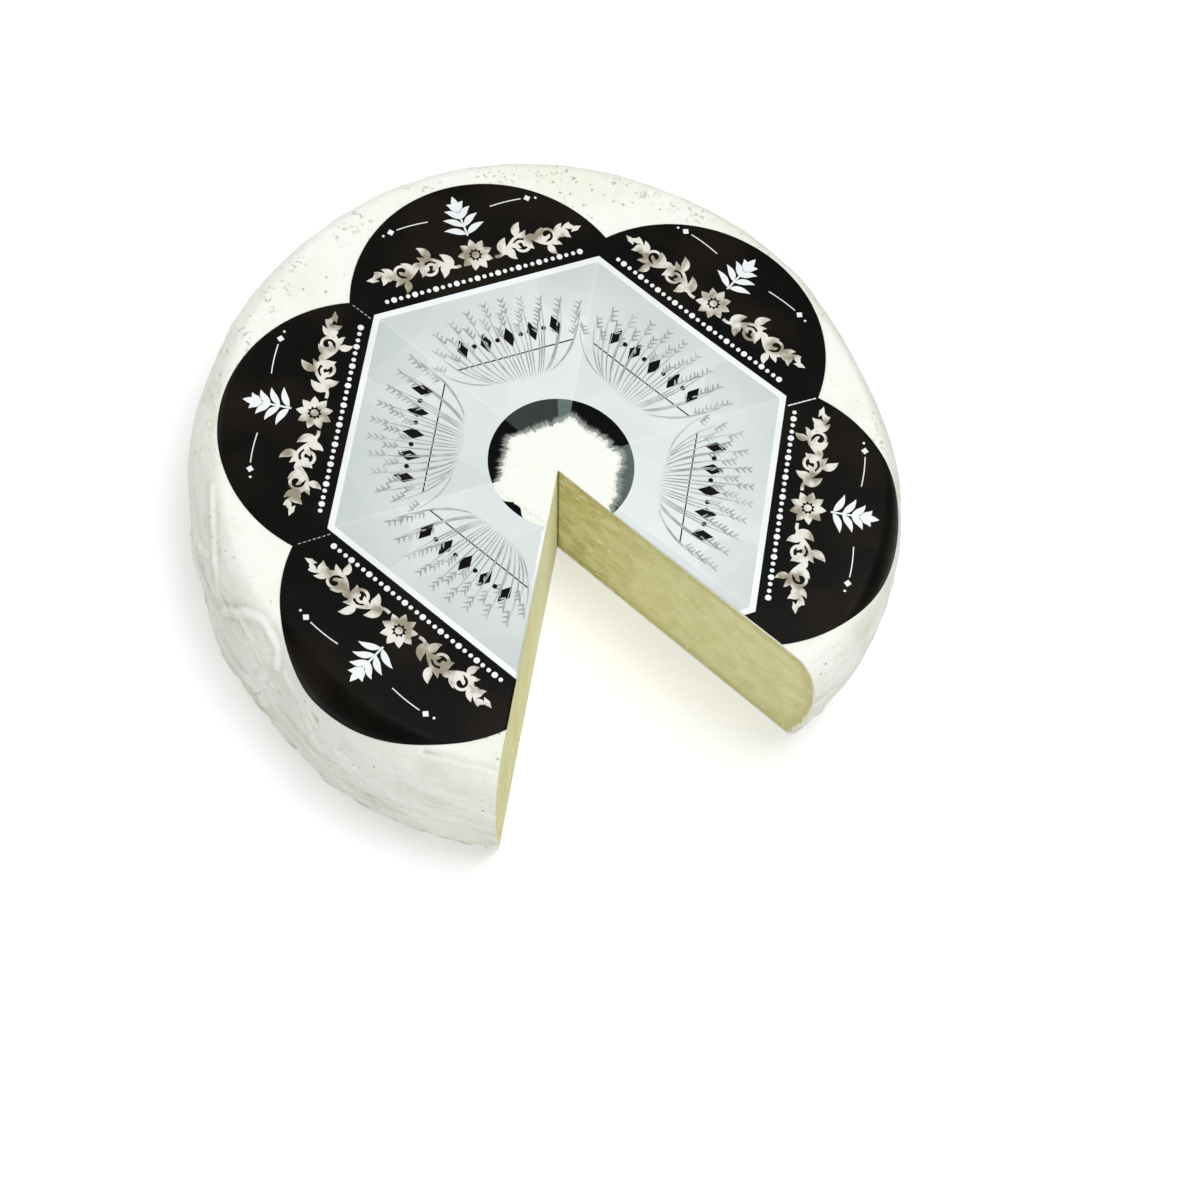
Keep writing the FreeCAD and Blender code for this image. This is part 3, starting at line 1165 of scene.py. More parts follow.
@dataclass
class CheeseWheel:
    """Rind, base and the two cut faces of the wheel, as one closed mesh.

    The way of a point is counted along the profile from the highest ring, less than zero
    inside it. Tables of lumps, pits and eyes end in the number of their noise.
    """

    form: WheelForm
    label: LabelForm
    columns: int = 800
    angle_samples: int = 2000
    crowding: float = 1.3
    crowd_angle: float = 230.0
    crowd_width: float = 42.0
    coarse_rows: int = 26
    fine_rows: int = 10
    fine_share: float = 0.86
    rim_spacing: float = 0.82
    shoulder_way: float = 17.0
    level_repeats: int = 4
    foot: RaggedFoot = RaggedFoot()
    # Height, size and layers of the rind's lumps
    lumps: tuple[tuple[float, float, int, int], ...] = ((0.25, 17.0, 3, 21), (0.14, 4.0, 2, 31))
    # Length and spacing of the waves that the knife drags along a cut, and the run in which
    # they sink by one spacing
    drag: Triple = (22.0, 3.0, 60.0)
    drag_height: float = 0.16
    drag_seed: int = 71
    # Height and size of the dents in a cut
    dents: Pair = (0.18, 12.0)
    dent_seed: int = 75
    cut_sink: float = 0.1
    # Depth, spacing and chance of the rind's pits and of the eyes in the paste
    pits: tuple[tuple[float, float, float, int], ...] = ((0.55, 6.5, 0.16, 51), (0.4, 3.4, 0.12, 61))
    eyes: tuple[float, float, float, int] = (0.8, 7.5, 0.22, 81)
    cut_edge: Pair = (0.5, 2.5)
    # The relief sets in outside the paper, on the shoulder, and everywhere below the paper's reach
    off_paper: Pair = (0.2, 2.6)
    onto_side: Pair = (1.0, 6.0)
    past_paper: Pair = (20.5, 25.0)
    relief_rest: float = 0.55
    lump_rest: float = 0.12
    belly_room: float = 0.8
    most_room: float = 1.2
    skin: float = 0.01
    side_skin: float = 0.02
    # Height, size, seed and layers of the warp that bends the fine cloth folds
    warp: tuple[float, float, int, int] = (5.0, 34.0, 5, 2)
    ridges: tuple[Ridges, ...] = (
        Ridges(30.0, 8.0, 0.14, 1.0, 7, 0.9, 7),
        Ridges(15.0, 4.0, -0.1, 1.4, 6, 0.4, 8),
    )
    # The ridges are strongest about an angle, and weaken to their rest past a half width
    ridge_middle: Pair = (219.0, 34.0)
    ridge_rest: float = 0.40
    ridges_from: Pair = (8.0, 26.0)
    crease_warp: float = 0.25
    groove: float = 0.35
    # Half width, rise and corners of each crease; a corner is an angle and a way
    creases: tuple[tuple[float, float, tuple[tuple[float, float], ...]], ...] = (
        (1.2, 0.55, ((196, 5), (201, 8), (206, 11.6), (210, 15.2), (212, 19.2), (215, 20.4))),
        (1.1, 0.5, ((182, 25), (190, 29), (195, 32.4), (202, 25.6), (206, 16.8))),
        (1.2, 0.7, ((215, 20.4), (219, 10.8), (222, 7.2), (227, 9.6), (228, 15.2))),
        (1.2, 0.6, ((215, 20.4), (214, 34.4), (221, 31.2), (226, 32))),
        (1.1, 0.55, ((218, 14.8), (223, 18), (226, 21.6), (225, 30.4))),
        (1.1, 0.5, ((230, 14.8), (236, 21.2), (239, 29))),
        (1.1, 0.5, ((232, 19.6), (237, 23.2))),
        (1.2, -1.1, ((237.6, 17.5), (238.6, 18.5))),
        (1.0, -0.9, ((236.5, 30), (237.5, 30.8))),
        (1.4, 1.3, ((221, 42), (225, 44.8), (227, 54.8), (233, 60))),
        (1.0, 1.1, ((244, 50.4), (253, 44), (259, 43.6), (266, 42), (276, 43))),
        (0.9, 1.3, ((240, 56), (250, 53), (259, 51), (266, 54), (276, 55.6))),
        (0.8, -0.6, ((257, 4.5), (261, 2.8), (266, 2.6), (274, 4))),
    )

    def angles(self) -> Array:
        """Angles of the columns from cut to cut, closer together where the folds are."""
        even = np.linspace(self.form.cut_right, self.form.cut_left, self.angle_samples)
        crowd = bell(turn_between(even, self.crowd_angle), self.crowd_width)
        weight = np.cumsum(1.0 + self.crowding * crowd)
        shares = np.linspace(weight[0], weight[-1], self.columns)
        return np.interp(shares, weight, even)

    def top(self, angle: Array) -> Array:
        """Grid of the top from the tip of the cuts to the highest ring.

        Each row lies at a share of the way from the tip line to the ring, and its height is
        the top's height there.

        Args:
            angle: Angles of the columns.

        Returns:
            Points, rows by columns.
        """
        coarse = np.linspace(0.0, self.fine_share, self.coarse_rows, endpoint=False)
        share = np.concatenate([coarse, np.linspace(self.fine_share, 1.0, self.fine_rows)])[:, None]
        ring = self.form.on_ray(angle, np.array(self.form.crest_radius), np.array(self.form.crest_height))
        level = np.full((len(share), len(angle)), self.form.centre_height)
        for _ in range(self.level_repeats):
            tip = self.form.tip(level)
            plan = tip + share[..., None] * (ring[None, :, :2] - tip)
            level = self.form.height_at(plan)
        return with_height(plan, level)

    def rim(self, angle: Array) -> Array:
        """Grid of the shoulder and the side from the highest ring down to the foot."""
        radius, height = self.form.rim_profile(self.rim_spacing)
        return self.form.on_ray(angle[None, :], radius[1:, None], height[1:, None])

    def folds(self, angle: Array, arc: Array, points: Array, way: Array) -> Array:
        """Height of the fine cloth folds on the side.

        Thin ridges run mostly along the rim, stronger at the front left. Chosen creases are
        bells about broken lines in the unrolled side, with a shallow groove along them.

        Args:
            angle: Angles of the columns.
            arc: Way along the rim.
            points: Points of the smooth form.
            way: Their way down the profile.

        Returns:
            Heights.
        """
        height, size, seed, layers = self.warp
        warp = height * layered_noise(points / size, seed, layers)
        about = bell(turn_between(angle, self.ridge_middle[0]), self.ridge_middle[1])
        strength = self.ridge_rest + (1.0 - self.ridge_rest) * about[None, :]
        total = sum(ridges.relief(arc, way, warp) for ridges in self.ridges) * strength
        total = total * ease(way, *self.ridges_from)
        spot = np.stack([arc + self.crease_warp * warp, way + self.crease_warp * warp], axis=-1)
        for half_width, rise, line in self.creases:
            gap = self.from_line(spot, np.array(line) * np.array([math.radians(self.form.wheel_radius), 1.0]))
            beside = bell(gap - 2.0 * half_width, half_width)
            total = total + rise * (bell(gap, half_width) - self.groove * beside)
        return total

    @staticmethod
    def from_line(spot: Array, corners: Array) -> Array:
        """Distance of points from a broken line: the least of those from its straight parts.

        Args:
            spot: Points in a plane.
            corners: Corners of the line, in order.

        Returns:
            Distances.
        """
        nearest = np.full(spot.shape[:-1], np.inf)
        for first, last in zip(corners, corners[1:]):
            step = last - first
            share = np.clip((spot - first) @ step / (step @ step), 0.0, 1.0)
            nearest = np.minimum(nearest, np.linalg.norm(spot - first - share[..., None] * step, axis=-1))
        return nearest

    def relief(self, angle: Array, points: Array, way: Array) -> Array:
        """Height of the rind's fine relief over the form, with none under the paper.

        It stands out only where the form keeps well inside the belly's round.

        Args:
            angle: Angles of the columns.
            points: Points of the smooth form.
            way: Their way down the profile.

        Returns:
            Heights along the form's normal.
        """
        arc = np.radians(angle)[None, :] * self.form.wheel_radius + 0.0 * way
        side = ease(way, *self.onto_side)
        lumps = sum(
            height * layered_noise(points / size, seed, layers) for height, size, layers, seed in self.lumps
        )
        pits = sum(
            depth * dimples(points, spacing, chance, seed) for depth, spacing, chance, seed in self.pits
        )
        folds = self.folds(angle, arc, points, way)
        raised = side * (folds + self.foot.relief(angle, arc, points[..., 2])) + lumps - pits
        bare = ease(-self.label.inside(points[..., :2]), *self.off_paper)
        bare = np.maximum(bare, ease(way, *self.past_paper))
        inwards = self.form.wheel_radius - self.belly_room - np.linalg.norm(points[..., :2], axis=-1)
        room = side * np.clip(inwards, 0.0, self.most_room)
        wanted = bare * (raised - self.relief_rest * side - self.lump_rest)
        return np.minimum(wanted, room) - self.skin - self.side_skin * side

    def rind(self) -> tuple[Array, Array]:
        """Grid of the whole rind above the base: the smooth form moved along its normals by the relief.

        Next to the tip line, where the columns meet, it is only lowered by the skin.

        Returns:
            Points and the depth of their hollows.
        """
        beside_tip, least = 3, 1e-9
        angle = self.angles()
        top, rim = self.top(angle), self.rim(angle)
        smooth = np.concatenate([top, rim])
        inwards = np.linalg.norm(top[..., :2], axis=-1) - self.form.crest_radius
        downwards = self.rim_spacing * np.arange(1, len(rim) + 1)[:, None] + 0.0 * angle
        way = np.concatenate([inwards, downwards])
        normal = np.cross(np.gradient(smooth, axis=0), np.gradient(smooth, axis=1))
        normal /= np.maximum(np.linalg.norm(normal, axis=-1, keepdims=True), least)
        relief = self.relief(angle, smooth, way)
        relief[:beside_tip] = -self.skin
        points = smooth + normal * relief[..., None]
        points[:beside_tip] = smooth[:beside_tip] - np.array([0.0, 0.0, self.skin])
        points[-1, :, 2] = 0.0
        for column, cut in ((0, self.form.cut_right), (-1, self.form.cut_left)):
            points[:, column] = self.to_cut(points[:, column], cut)
        return points, np.maximum(-relief, 0.0)

    def to_cut(self, points: Array, angle: float) -> Array:
        """Points moved square to a cut, onto its plane.

        Args:
            points: Points beside the cut.
            angle: Direction of the cut.

        Returns:
            Points on it.
        """
        side = unit(angle + 90.0)
        off = (points[..., :2] - self.form.tip(points[..., 2])) @ side
        moved = points.copy()
        moved[..., :2] -= off[..., None] * side
        return moved

    def cut_face(self, border: Array, corner: int, angle: float) -> tuple[Array, Array]:
        """Grid of one cut face and its distance from the rind.

        The face lies between four edges: the top and the side of the border, the base line
        and the tip line. It is the sum of the two surfaces ruled between opposite edges less
        the one ruled between the corners.

        Args:
            border: Rind's edge on the cut, from the tip to the foot.
            corner: Number of the border's point at the middle of the shoulder.
            angle: Direction of the cut.

        Returns:
            Points, inwards to outwards by base to top, and distances.
        """
        top, outer = border[: corner + 1], border[corner:][::-1]
        reach = np.linalg.norm(top[:, :2] - top[0, :2], axis=-1)
        across = reach / reach[-1]
        upward = np.linspace(0.0, 1.0, len(outer))
        base_tip = np.append(self.form.tip(np.array(0.0)), 0.0)
        base = base_tip + across[:, None] * (outer[0] - base_tip)
        inner = base_tip + upward[:, None] * (top[0] - base_tip)
        u, v = across[:, None, None], upward[None, :, None]
        ruled = (1 - v) * base[:, None] + v * top[:, None] + (1 - u) * inner[None] + u * outer[None]
        corners = (1 - u) * ((1 - v) * base[0] + v * top[0]) + u * ((1 - v) * base[-1] + v * top[-1])
        face = ruled - corners
        line = np.concatenate([border, base])
        gap = np.min(np.linalg.norm(face[:, :, None] - line[None, None], axis=-1), axis=-1)
        return self.scored(face, gap, angle), gap

    def scored(self, face: Array, gap: Array, angle: float) -> Array:
        """Cut face with the knife's shallow waves and a few eyes, and flat at its edges.

        Args:
            face: Points of the flat face.
            gap: Their distances from the rind.
            angle: Direction of the cut.

        Returns:
            Points, moved only into the cheese.
        """
        along = (face[..., :2] - self.form.tip(face[..., 2])) @ unit(angle)
        length, spacing, slope = self.drag
        drag = np.stack([along / length, face[..., 2] / spacing + along / slope], axis=-1)
        dent, size = self.dents
        depth, cell, chance, seed = self.eyes
        wavy = self.drag_height * layered_noise(drag, self.drag_seed, 3)
        wavy = wavy + dent * layered_noise(face / size, self.dent_seed, 2)
        inside = ease(gap, *self.cut_edge) * ease(along, *self.cut_edge)
        sink = inside * (wavy - self.cut_sink - depth * dimples(face, cell, chance, seed))
        inwards = unit(angle + 90.0) * (-1.0 if angle > 180.0 else 1.0)
        moved = face.copy()
        moved[..., :2] -= np.minimum(sink, 0.0)[..., None] * inwards
        return moved

    def build(self) -> bpy.types.Object:
        """Make the closed wheel, with the rind as material 0 and the paste as 1."""
        points, hollow = self.rind()
        corner = self.coarse_rows + self.fine_rows + round(self.shoulder_way / self.rim_spacing)
        builder = Builder("cheese_wheel", DEPTH)
        builder.add(points, 0, hollow)
        base = [points[-1]]
        for column, angle in ((-1, self.form.cut_left), (0, self.form.cut_right)):
            face, gap = self.cut_face(points[:, column], corner, angle)
            builder.add(face, 1, gap)
            base.append(face[:, 0])
        builder.outline(np.concatenate([base[0], base[1][::-1][1:], base[2][1:-1]]))
        return builder.piece()


# ---------------------------------------------------------------- the label


@dataclass(frozen=True)
class SectorPrint:
    """Print that changes from sector to sector of the label."""

    label: LabelForm

    def sectors(self, recipe: Recipe, place: Flow) -> tuple[Flow, Flow, Flow]:
        """Where a place lies in the print.

        Args:
            recipe: Material under way.
            place: Place in millimetres.

        Returns:
            Angle, radius, and the angle counted in sectors from a corner of the hexagon.
        """
        turn, radius = recipe.about(place, self.label.print_centre)
        return turn, radius, recipe.whole_turn(turn - self.label.corner_angle) / self.label.sector


@dataclass(frozen=True)
class RingPrint(SectorPrint):
    """Black printed ring, scuffed grey in some sectors, with a torn inner edge of white fibres."""

    ink: Colour = srgb(3, 4, 3)
    scuffed: Colour = srgb(112, 126, 124)
    bristle: Colour = srgb(150, 156, 150)
    fibre: Colour = srgb(240, 241, 233)
    tones: tuple[tuple[int, float], ...] = ((0, 0.22), (2, 0.20), (4, 0.62))
    scuff_sectors: float = 0.2
    torn_sector: int = 2
    torn_reach: float = 3.4
    sliver_turn: float = 238.0
    sliver_turns: Pair = (3.0, 11.0)
    sliver_width: float = 2.2

    def material(self) -> bpy.types.Material:
        """Build the material; vertices carry their distance from the torn edge."""
        recipe = Recipe("ring_print")
        place, gap = recipe.place(), recipe.carried(DEPTH)
        turn, radius, count = self.sectors(recipe, place)
        sector = count.floor()
        tone = recipe.chosen(sector, self.tones)
        patch = (self.scuff_sectors > count) * 0.55
        cloud = recipe.noise(place, 3.0, 4.0, 0.6)
        colour = recipe.blend((tone + patch) * (cloud * 0.5 + 0.72), self.ink, self.scuffed)
        sweep = recipe.node("ShaderNodeCombineXYZ", {}, {0: turn * 0.9, 1: radius * 0.35, 2: 0.0})
        brush = recipe.noise(sweep, 1.3, 3.0, 0.65)
        broad = recipe.noise(place, 5.0, 2.0)
        torn = recipe.chosen(sector, ((self.torn_sector, self.torn_reach),))
        reach = gap + (brush - 0.5) * 2.4 + (broad - 0.5) * 2.4 - torn
        fuzz = recipe.noise(sweep, 0.7, 2.0, 0.6)
        colour = recipe.blend((1.0 - (reach + (fuzz - 0.5) * 3.0).ease(1.0, 2.6)) * 0.9, colour, self.bristle)
        colour = recipe.blend(1.0 - reach.ease(0.1, 0.8), colour, self.fibre)
        sliver = (1.0 - (turn - self.sliver_turn).size().ease(*self.sliver_turns)) * self.sliver_width + 0.1
        left = (self.label.ring_radius - radius + (broad - 0.5) * 0.8) < sliver
        colour = recipe.blend(left * recipe.chosen(sector, ((self.torn_sector, 1.0),)), colour, self.ink)
        return recipe.finish(colour, 0.45, Normal=recipe.relief(brush, 0.12), Specular_IOR_Level=0.05)


@dataclass(frozen=True)
class FacetPrint(SectorPrint):
    """Grey hexagon of facets: each sector its own tone, darker outwards, with flat planes."""

    light: Colour = srgb(229, 235, 234)
    dark: Colour = srgb(184, 193, 191)
    core: Colour = srgb(244, 245, 240)
    tones: tuple[tuple[int, float], ...] = ((0, 0.02), (1, 0.18), (2, 0.12), (4, -0.02), (5, 0.08))
    outer_half: Pair = (38.0, 64.0)
    lens_place: Pair = (-25.0, 56.0)
    lens_radius: float = 11.0
    worn_half_width: Pair = (0.7, 1.3)
    worn_from: Pair = (-52.0, -34.0)

    def material(self) -> bpy.types.Material:
        """Build the material from the sector, the radius and the side of each point.

        Within a sector the tone grows outwards; a plane leans in from each side, and a disc
        about a point near one corner darkens it like the edge of a lens. Beside the left cut
        the print is worn down to the white of the paper.
        """
        recipe = Recipe("facet_print")
        place = recipe.place()
        _, radius, count = self.sectors(recipe, place)
        sector = count.floor()
        local = (count - sector - 0.5) * math.radians(self.label.sector)
        outward = radius * recipe.math_node("COSINE", local, 0.0)
        sideways = radius * recipe.math_node("SINE", local, 0.0)
        shade = outward.ease(*self.outer_half) * 0.26 + 0.18 + recipe.chosen(sector, self.tones)
        plane = (sideways + outward * 0.42 - 18.0) > 0.0
        second = (outward * 0.55 - sideways - 30.0) > 0.0
        lens_aside, lens_out = sideways - self.lens_place[0], outward - self.lens_place[1]
        lens = self.lens_radius > (lens_aside**2 + lens_out**2) ** 0.5
        corner = (sideways.size() - 15.0) > (self.outer_half[1] - outward) * 1.1
        edge = outward * math.tan(math.radians(self.label.half_sector))
        ray = 1.0 - (sideways.size() - edge).size().ease(0.2, 0.7)
        shade = shade + plane * 0.10 - second * 0.06 + corner * 0.06 + lens * 0.16 - ray * 0.12
        cloud = recipe.noise(place, 20.0, 2.0).ease(0.4, 0.7)
        colour = recipe.blend(shade + cloud * 0.08, self.light, self.dark)
        beside = (recipe.axis(place, 0) - self.label.form.tip_top[0]).size()
        ragged = (recipe.noise(place, 2.2, 3.0, 0.6) - 0.5) * 2.4
        worn = 1.0 - (beside + ragged).ease(*self.worn_half_width)
        near = recipe.axis(place, 1).ease(*self.worn_from) * (0.0 > recipe.axis(place, 1))
        colour = recipe.blend(worn * near, colour, self.core)
        return recipe.finish(colour, 0.34, Normal=paper_grain(recipe, place))


@dataclass
class LabelSheet:
    """Printed paper: black ring, grey hexagon, white border and black lobes."""

    label: LabelForm
    columns: int = 76
    strip_columns: int = 5
    rows: tuple[int, int, int, int] = (7, 20, 3, 34)
    lift: float = 0.20
    thickness: float = 0.25
    above_middle: float = 1.0
    grid_repeats: int = 5

    def limit(self, radius: Array, cut: float) -> Array:
        """Where the paper ends at a cut: the arc sine of the cut's distance over the radius.

        Args:
            radius: Radii about the print's centre.
            cut: Direction of the cut.

        Returns:
            Angles about the print's centre, for the cut's line at the paper's mean height.
        """
        form = self.label.form
        tip = form.tip(np.array(form.centre_height + self.above_middle))
        aside = float((np.array(self.label.print_centre) - tip) @ unit(cut + 90.0))
        return cut - np.degrees(np.arcsin(np.clip(aside / radius, -1.0, 1.0)))

    def bands(self, angle: Array) -> list[Array]:
        """Radii at which the print changes, from the hole to the lobes' edge.

        Args:
            angle: Angles about the print's centre.

        Returns:
            One array of radii for each border.
        """
        label = self.label
        return [
            label.meets(angle, label.hole_centre, label.torn_radius),
            np.full_like(angle, label.ring_radius),
            label.hexagon_edge(angle, label.border),
            label.hexagon_edge(angle),
            label.to_lobe(angle),
        ]

    def stretches(self) -> list[tuple[int | None, int | None, int]]:
        """Corner numbers that bound each stretch of columns, None at a cut, and its columns."""
        corners = list(range(-2, 3))
        counts = [self.strip_columns] + [self.columns] * len(corners)
        return list(zip([None, *corners], [*corners, None], counts))

    def edge(self, corner: int | None, cut: float, radius: Array, outwards: Array | float) -> Array:
        """Angle of a stretch's edge: the cut's, or a corner's ray that bends to the lobes' notch.

        Args:
            corner: Number of the corner, None at a cut.
            cut: Direction of the cut.
            radius: Radii of the grid.
            outwards: Share of the bend.

        Returns:
            Angles about the print's centre.
        """
        label = self.label
        if corner is None:
            return self.limit(radius, cut)
        ray = label.corner_angle + label.sector * corner
        return ray + (label.notch_direction(corner) - ray) * outwards + 0.0 * radius

    def grid(self, first: int | None, last: int | None, count: int, band: int) -> tuple[Array, Array]:
        """Angle and radius over one band of one stretch, found by repeating, since each bounds the other.

        Args:
            first: Corner at the start, None at a cut.
            last: Corner at the end, None at a cut.
            count: Columns.
            band: Number of the band, counted outwards.

        Returns:
            Angles and radii, rows by columns.
        """
        form, label = self.label.form, self.label
        share = np.linspace(0.0, 1.0, count + 1)[None, :]
        rise = np.linspace(0.0, 1.0, self.rows[band])[:, None] + 0.0 * share
        outwards = rise if band == len(self.rows) - 1 else 0.0
        radius = label.ring_radius + 0.0 * rise
        for _ in range(self.grid_repeats):
            start = self.edge(first, form.cut_right, radius, outwards)
            end = self.edge(last, form.cut_left, radius, outwards)
            angle = start + (end - start) * share
            bands = self.bands(angle)
            radius = bands[band] + rise * (bands[band + 1] - bands[band])
        return angle, radius

    def build(self) -> bpy.types.Object:
        """Make the sheet with a material number for each band of print."""
        label, builder = self.label, Builder("label_sheet", DEPTH)
        for first, last, count in self.stretches():
            for band in range(len(self.rows)):
                angle, radius = self.grid(first, last, count, band)
                points = label.form.on_top(label.plan(angle, radius), np.full(angle.shape, self.lift))
                builder.add(points, band, radius - self.bands(angle)[0])
        sheet = builder.piece(merge=0.004)
        solid = sheet.modifiers.new("paper", "SOLIDIFY")
        solid.thickness = self.thickness * METRE
        solid.offset = -1.0
        return sheet


class Width(Enum):
    """How a stroke's width runs from its start to its end."""

    EVEN = "even"
    LEAF = "leaf"
    ROUND = "round"
    LOZENGE = "lozenge"
    THORN = "thorn"

    def share(self, way: Array) -> Array:
        """Share of the full width.

        Args:
            way: Shares of the way along.

        Returns:
            Shares of the width.
        """
        return {
            Width.EVEN: np.ones_like(way),
            Width.LEAF: np.sin(np.pi * way**0.8),
            Width.ROUND: np.sqrt(np.clip(1.0 - (2.0 * way - 1.0) ** 2, 0.0, 1.0)),
            Width.LOZENGE: 1.0 - np.abs(2.0 * way - 1.0),
            Width.THORN: 1.0 - way,
        }[self]


@dataclass(frozen=True)
class Stroke:
    """Line of ink of a width along a path in a sector's plane, sideways and outwards."""

    path: Array
    width: float
    outline: Width = Width.EVEN

    def tube(self, low: float, high: float) -> Array:
        """Closed tube of rectangular section along the path.

        Args:
            low: Height of its lower side.
            high: Height of its upper side.

        Returns:
            Points: rows along the path, with a cap's row at each end, and columns round the section.
        """
        along = np.gradient(self.path, axis=0)
        along /= np.linalg.norm(along, axis=-1, keepdims=True)
        aside = np.stack([-along[:, 1], along[:, 0]], axis=-1)
        half = 0.5 * self.width * self.outline.share(np.linspace(0.0, 1.0, len(self.path)))
        side = np.array([-1.0, -1.0, 1.0, 1.0, -1.0])
        lift = np.array([low, high, high, low, low])
        plan = self.path[:, None] + (side[None, :] * half[:, None])[..., None] * aside[:, None]
        tube = with_height(plan, np.broadcast_to(lift, plan.shape[:2]))
        caps = [np.repeat(tube[[row], :4].mean(axis=1, keepdims=True), len(side), axis=1) for row in (0, -1)]
        return np.concatenate([caps[0], tube, caps[1]])

    def mirrored(self) -> "Stroke":
        """Same stroke on the other side of the sector's middle."""
        return Stroke(self.path * np.array([-1.0, 1.0]), self.width, self.outline)


def bowed(start: Pair, end: Pair, bow: float = 0.0, steps: int = 10) -> Array:
    """Points of a straight line pushed sideways by a parabola.

    Args:
        start: First point.
        end: Last point.
        bow: Height of the parabola, to the left.
        steps: Number of points.

    Returns:
        The points.
    """
    way = np.linspace(0.0, 1.0, steps)[:, None]
    first, step = np.array(start), np.array(end) - np.array(start)
    aside = np.array([-step[1], step[0]]) / np.linalg.norm(step)
    return first + way * step + 4.0 * bow * way * (1.0 - way) * aside


def spiral(centre: Pair, radii: Pair, turns: Pair, steps: int = 30) -> Array:
    """Points of a spiral, its radius and angle running evenly from end to end.

    Args:
        centre: Middle of the spiral.
        radii: First and last radius.
        turns: First and last angle.
        steps: Number of points.

    Returns:
        The points.
    """
    radius = np.linspace(*radii, steps)[:, None]
    return np.array(centre) + radius * unit(np.linspace(*turns, steps))


def both(strokes: list[Stroke]) -> list[Stroke]:
    """Strokes together with the same strokes mirrored."""
    return strokes + [stroke.mirrored() for stroke in strokes]


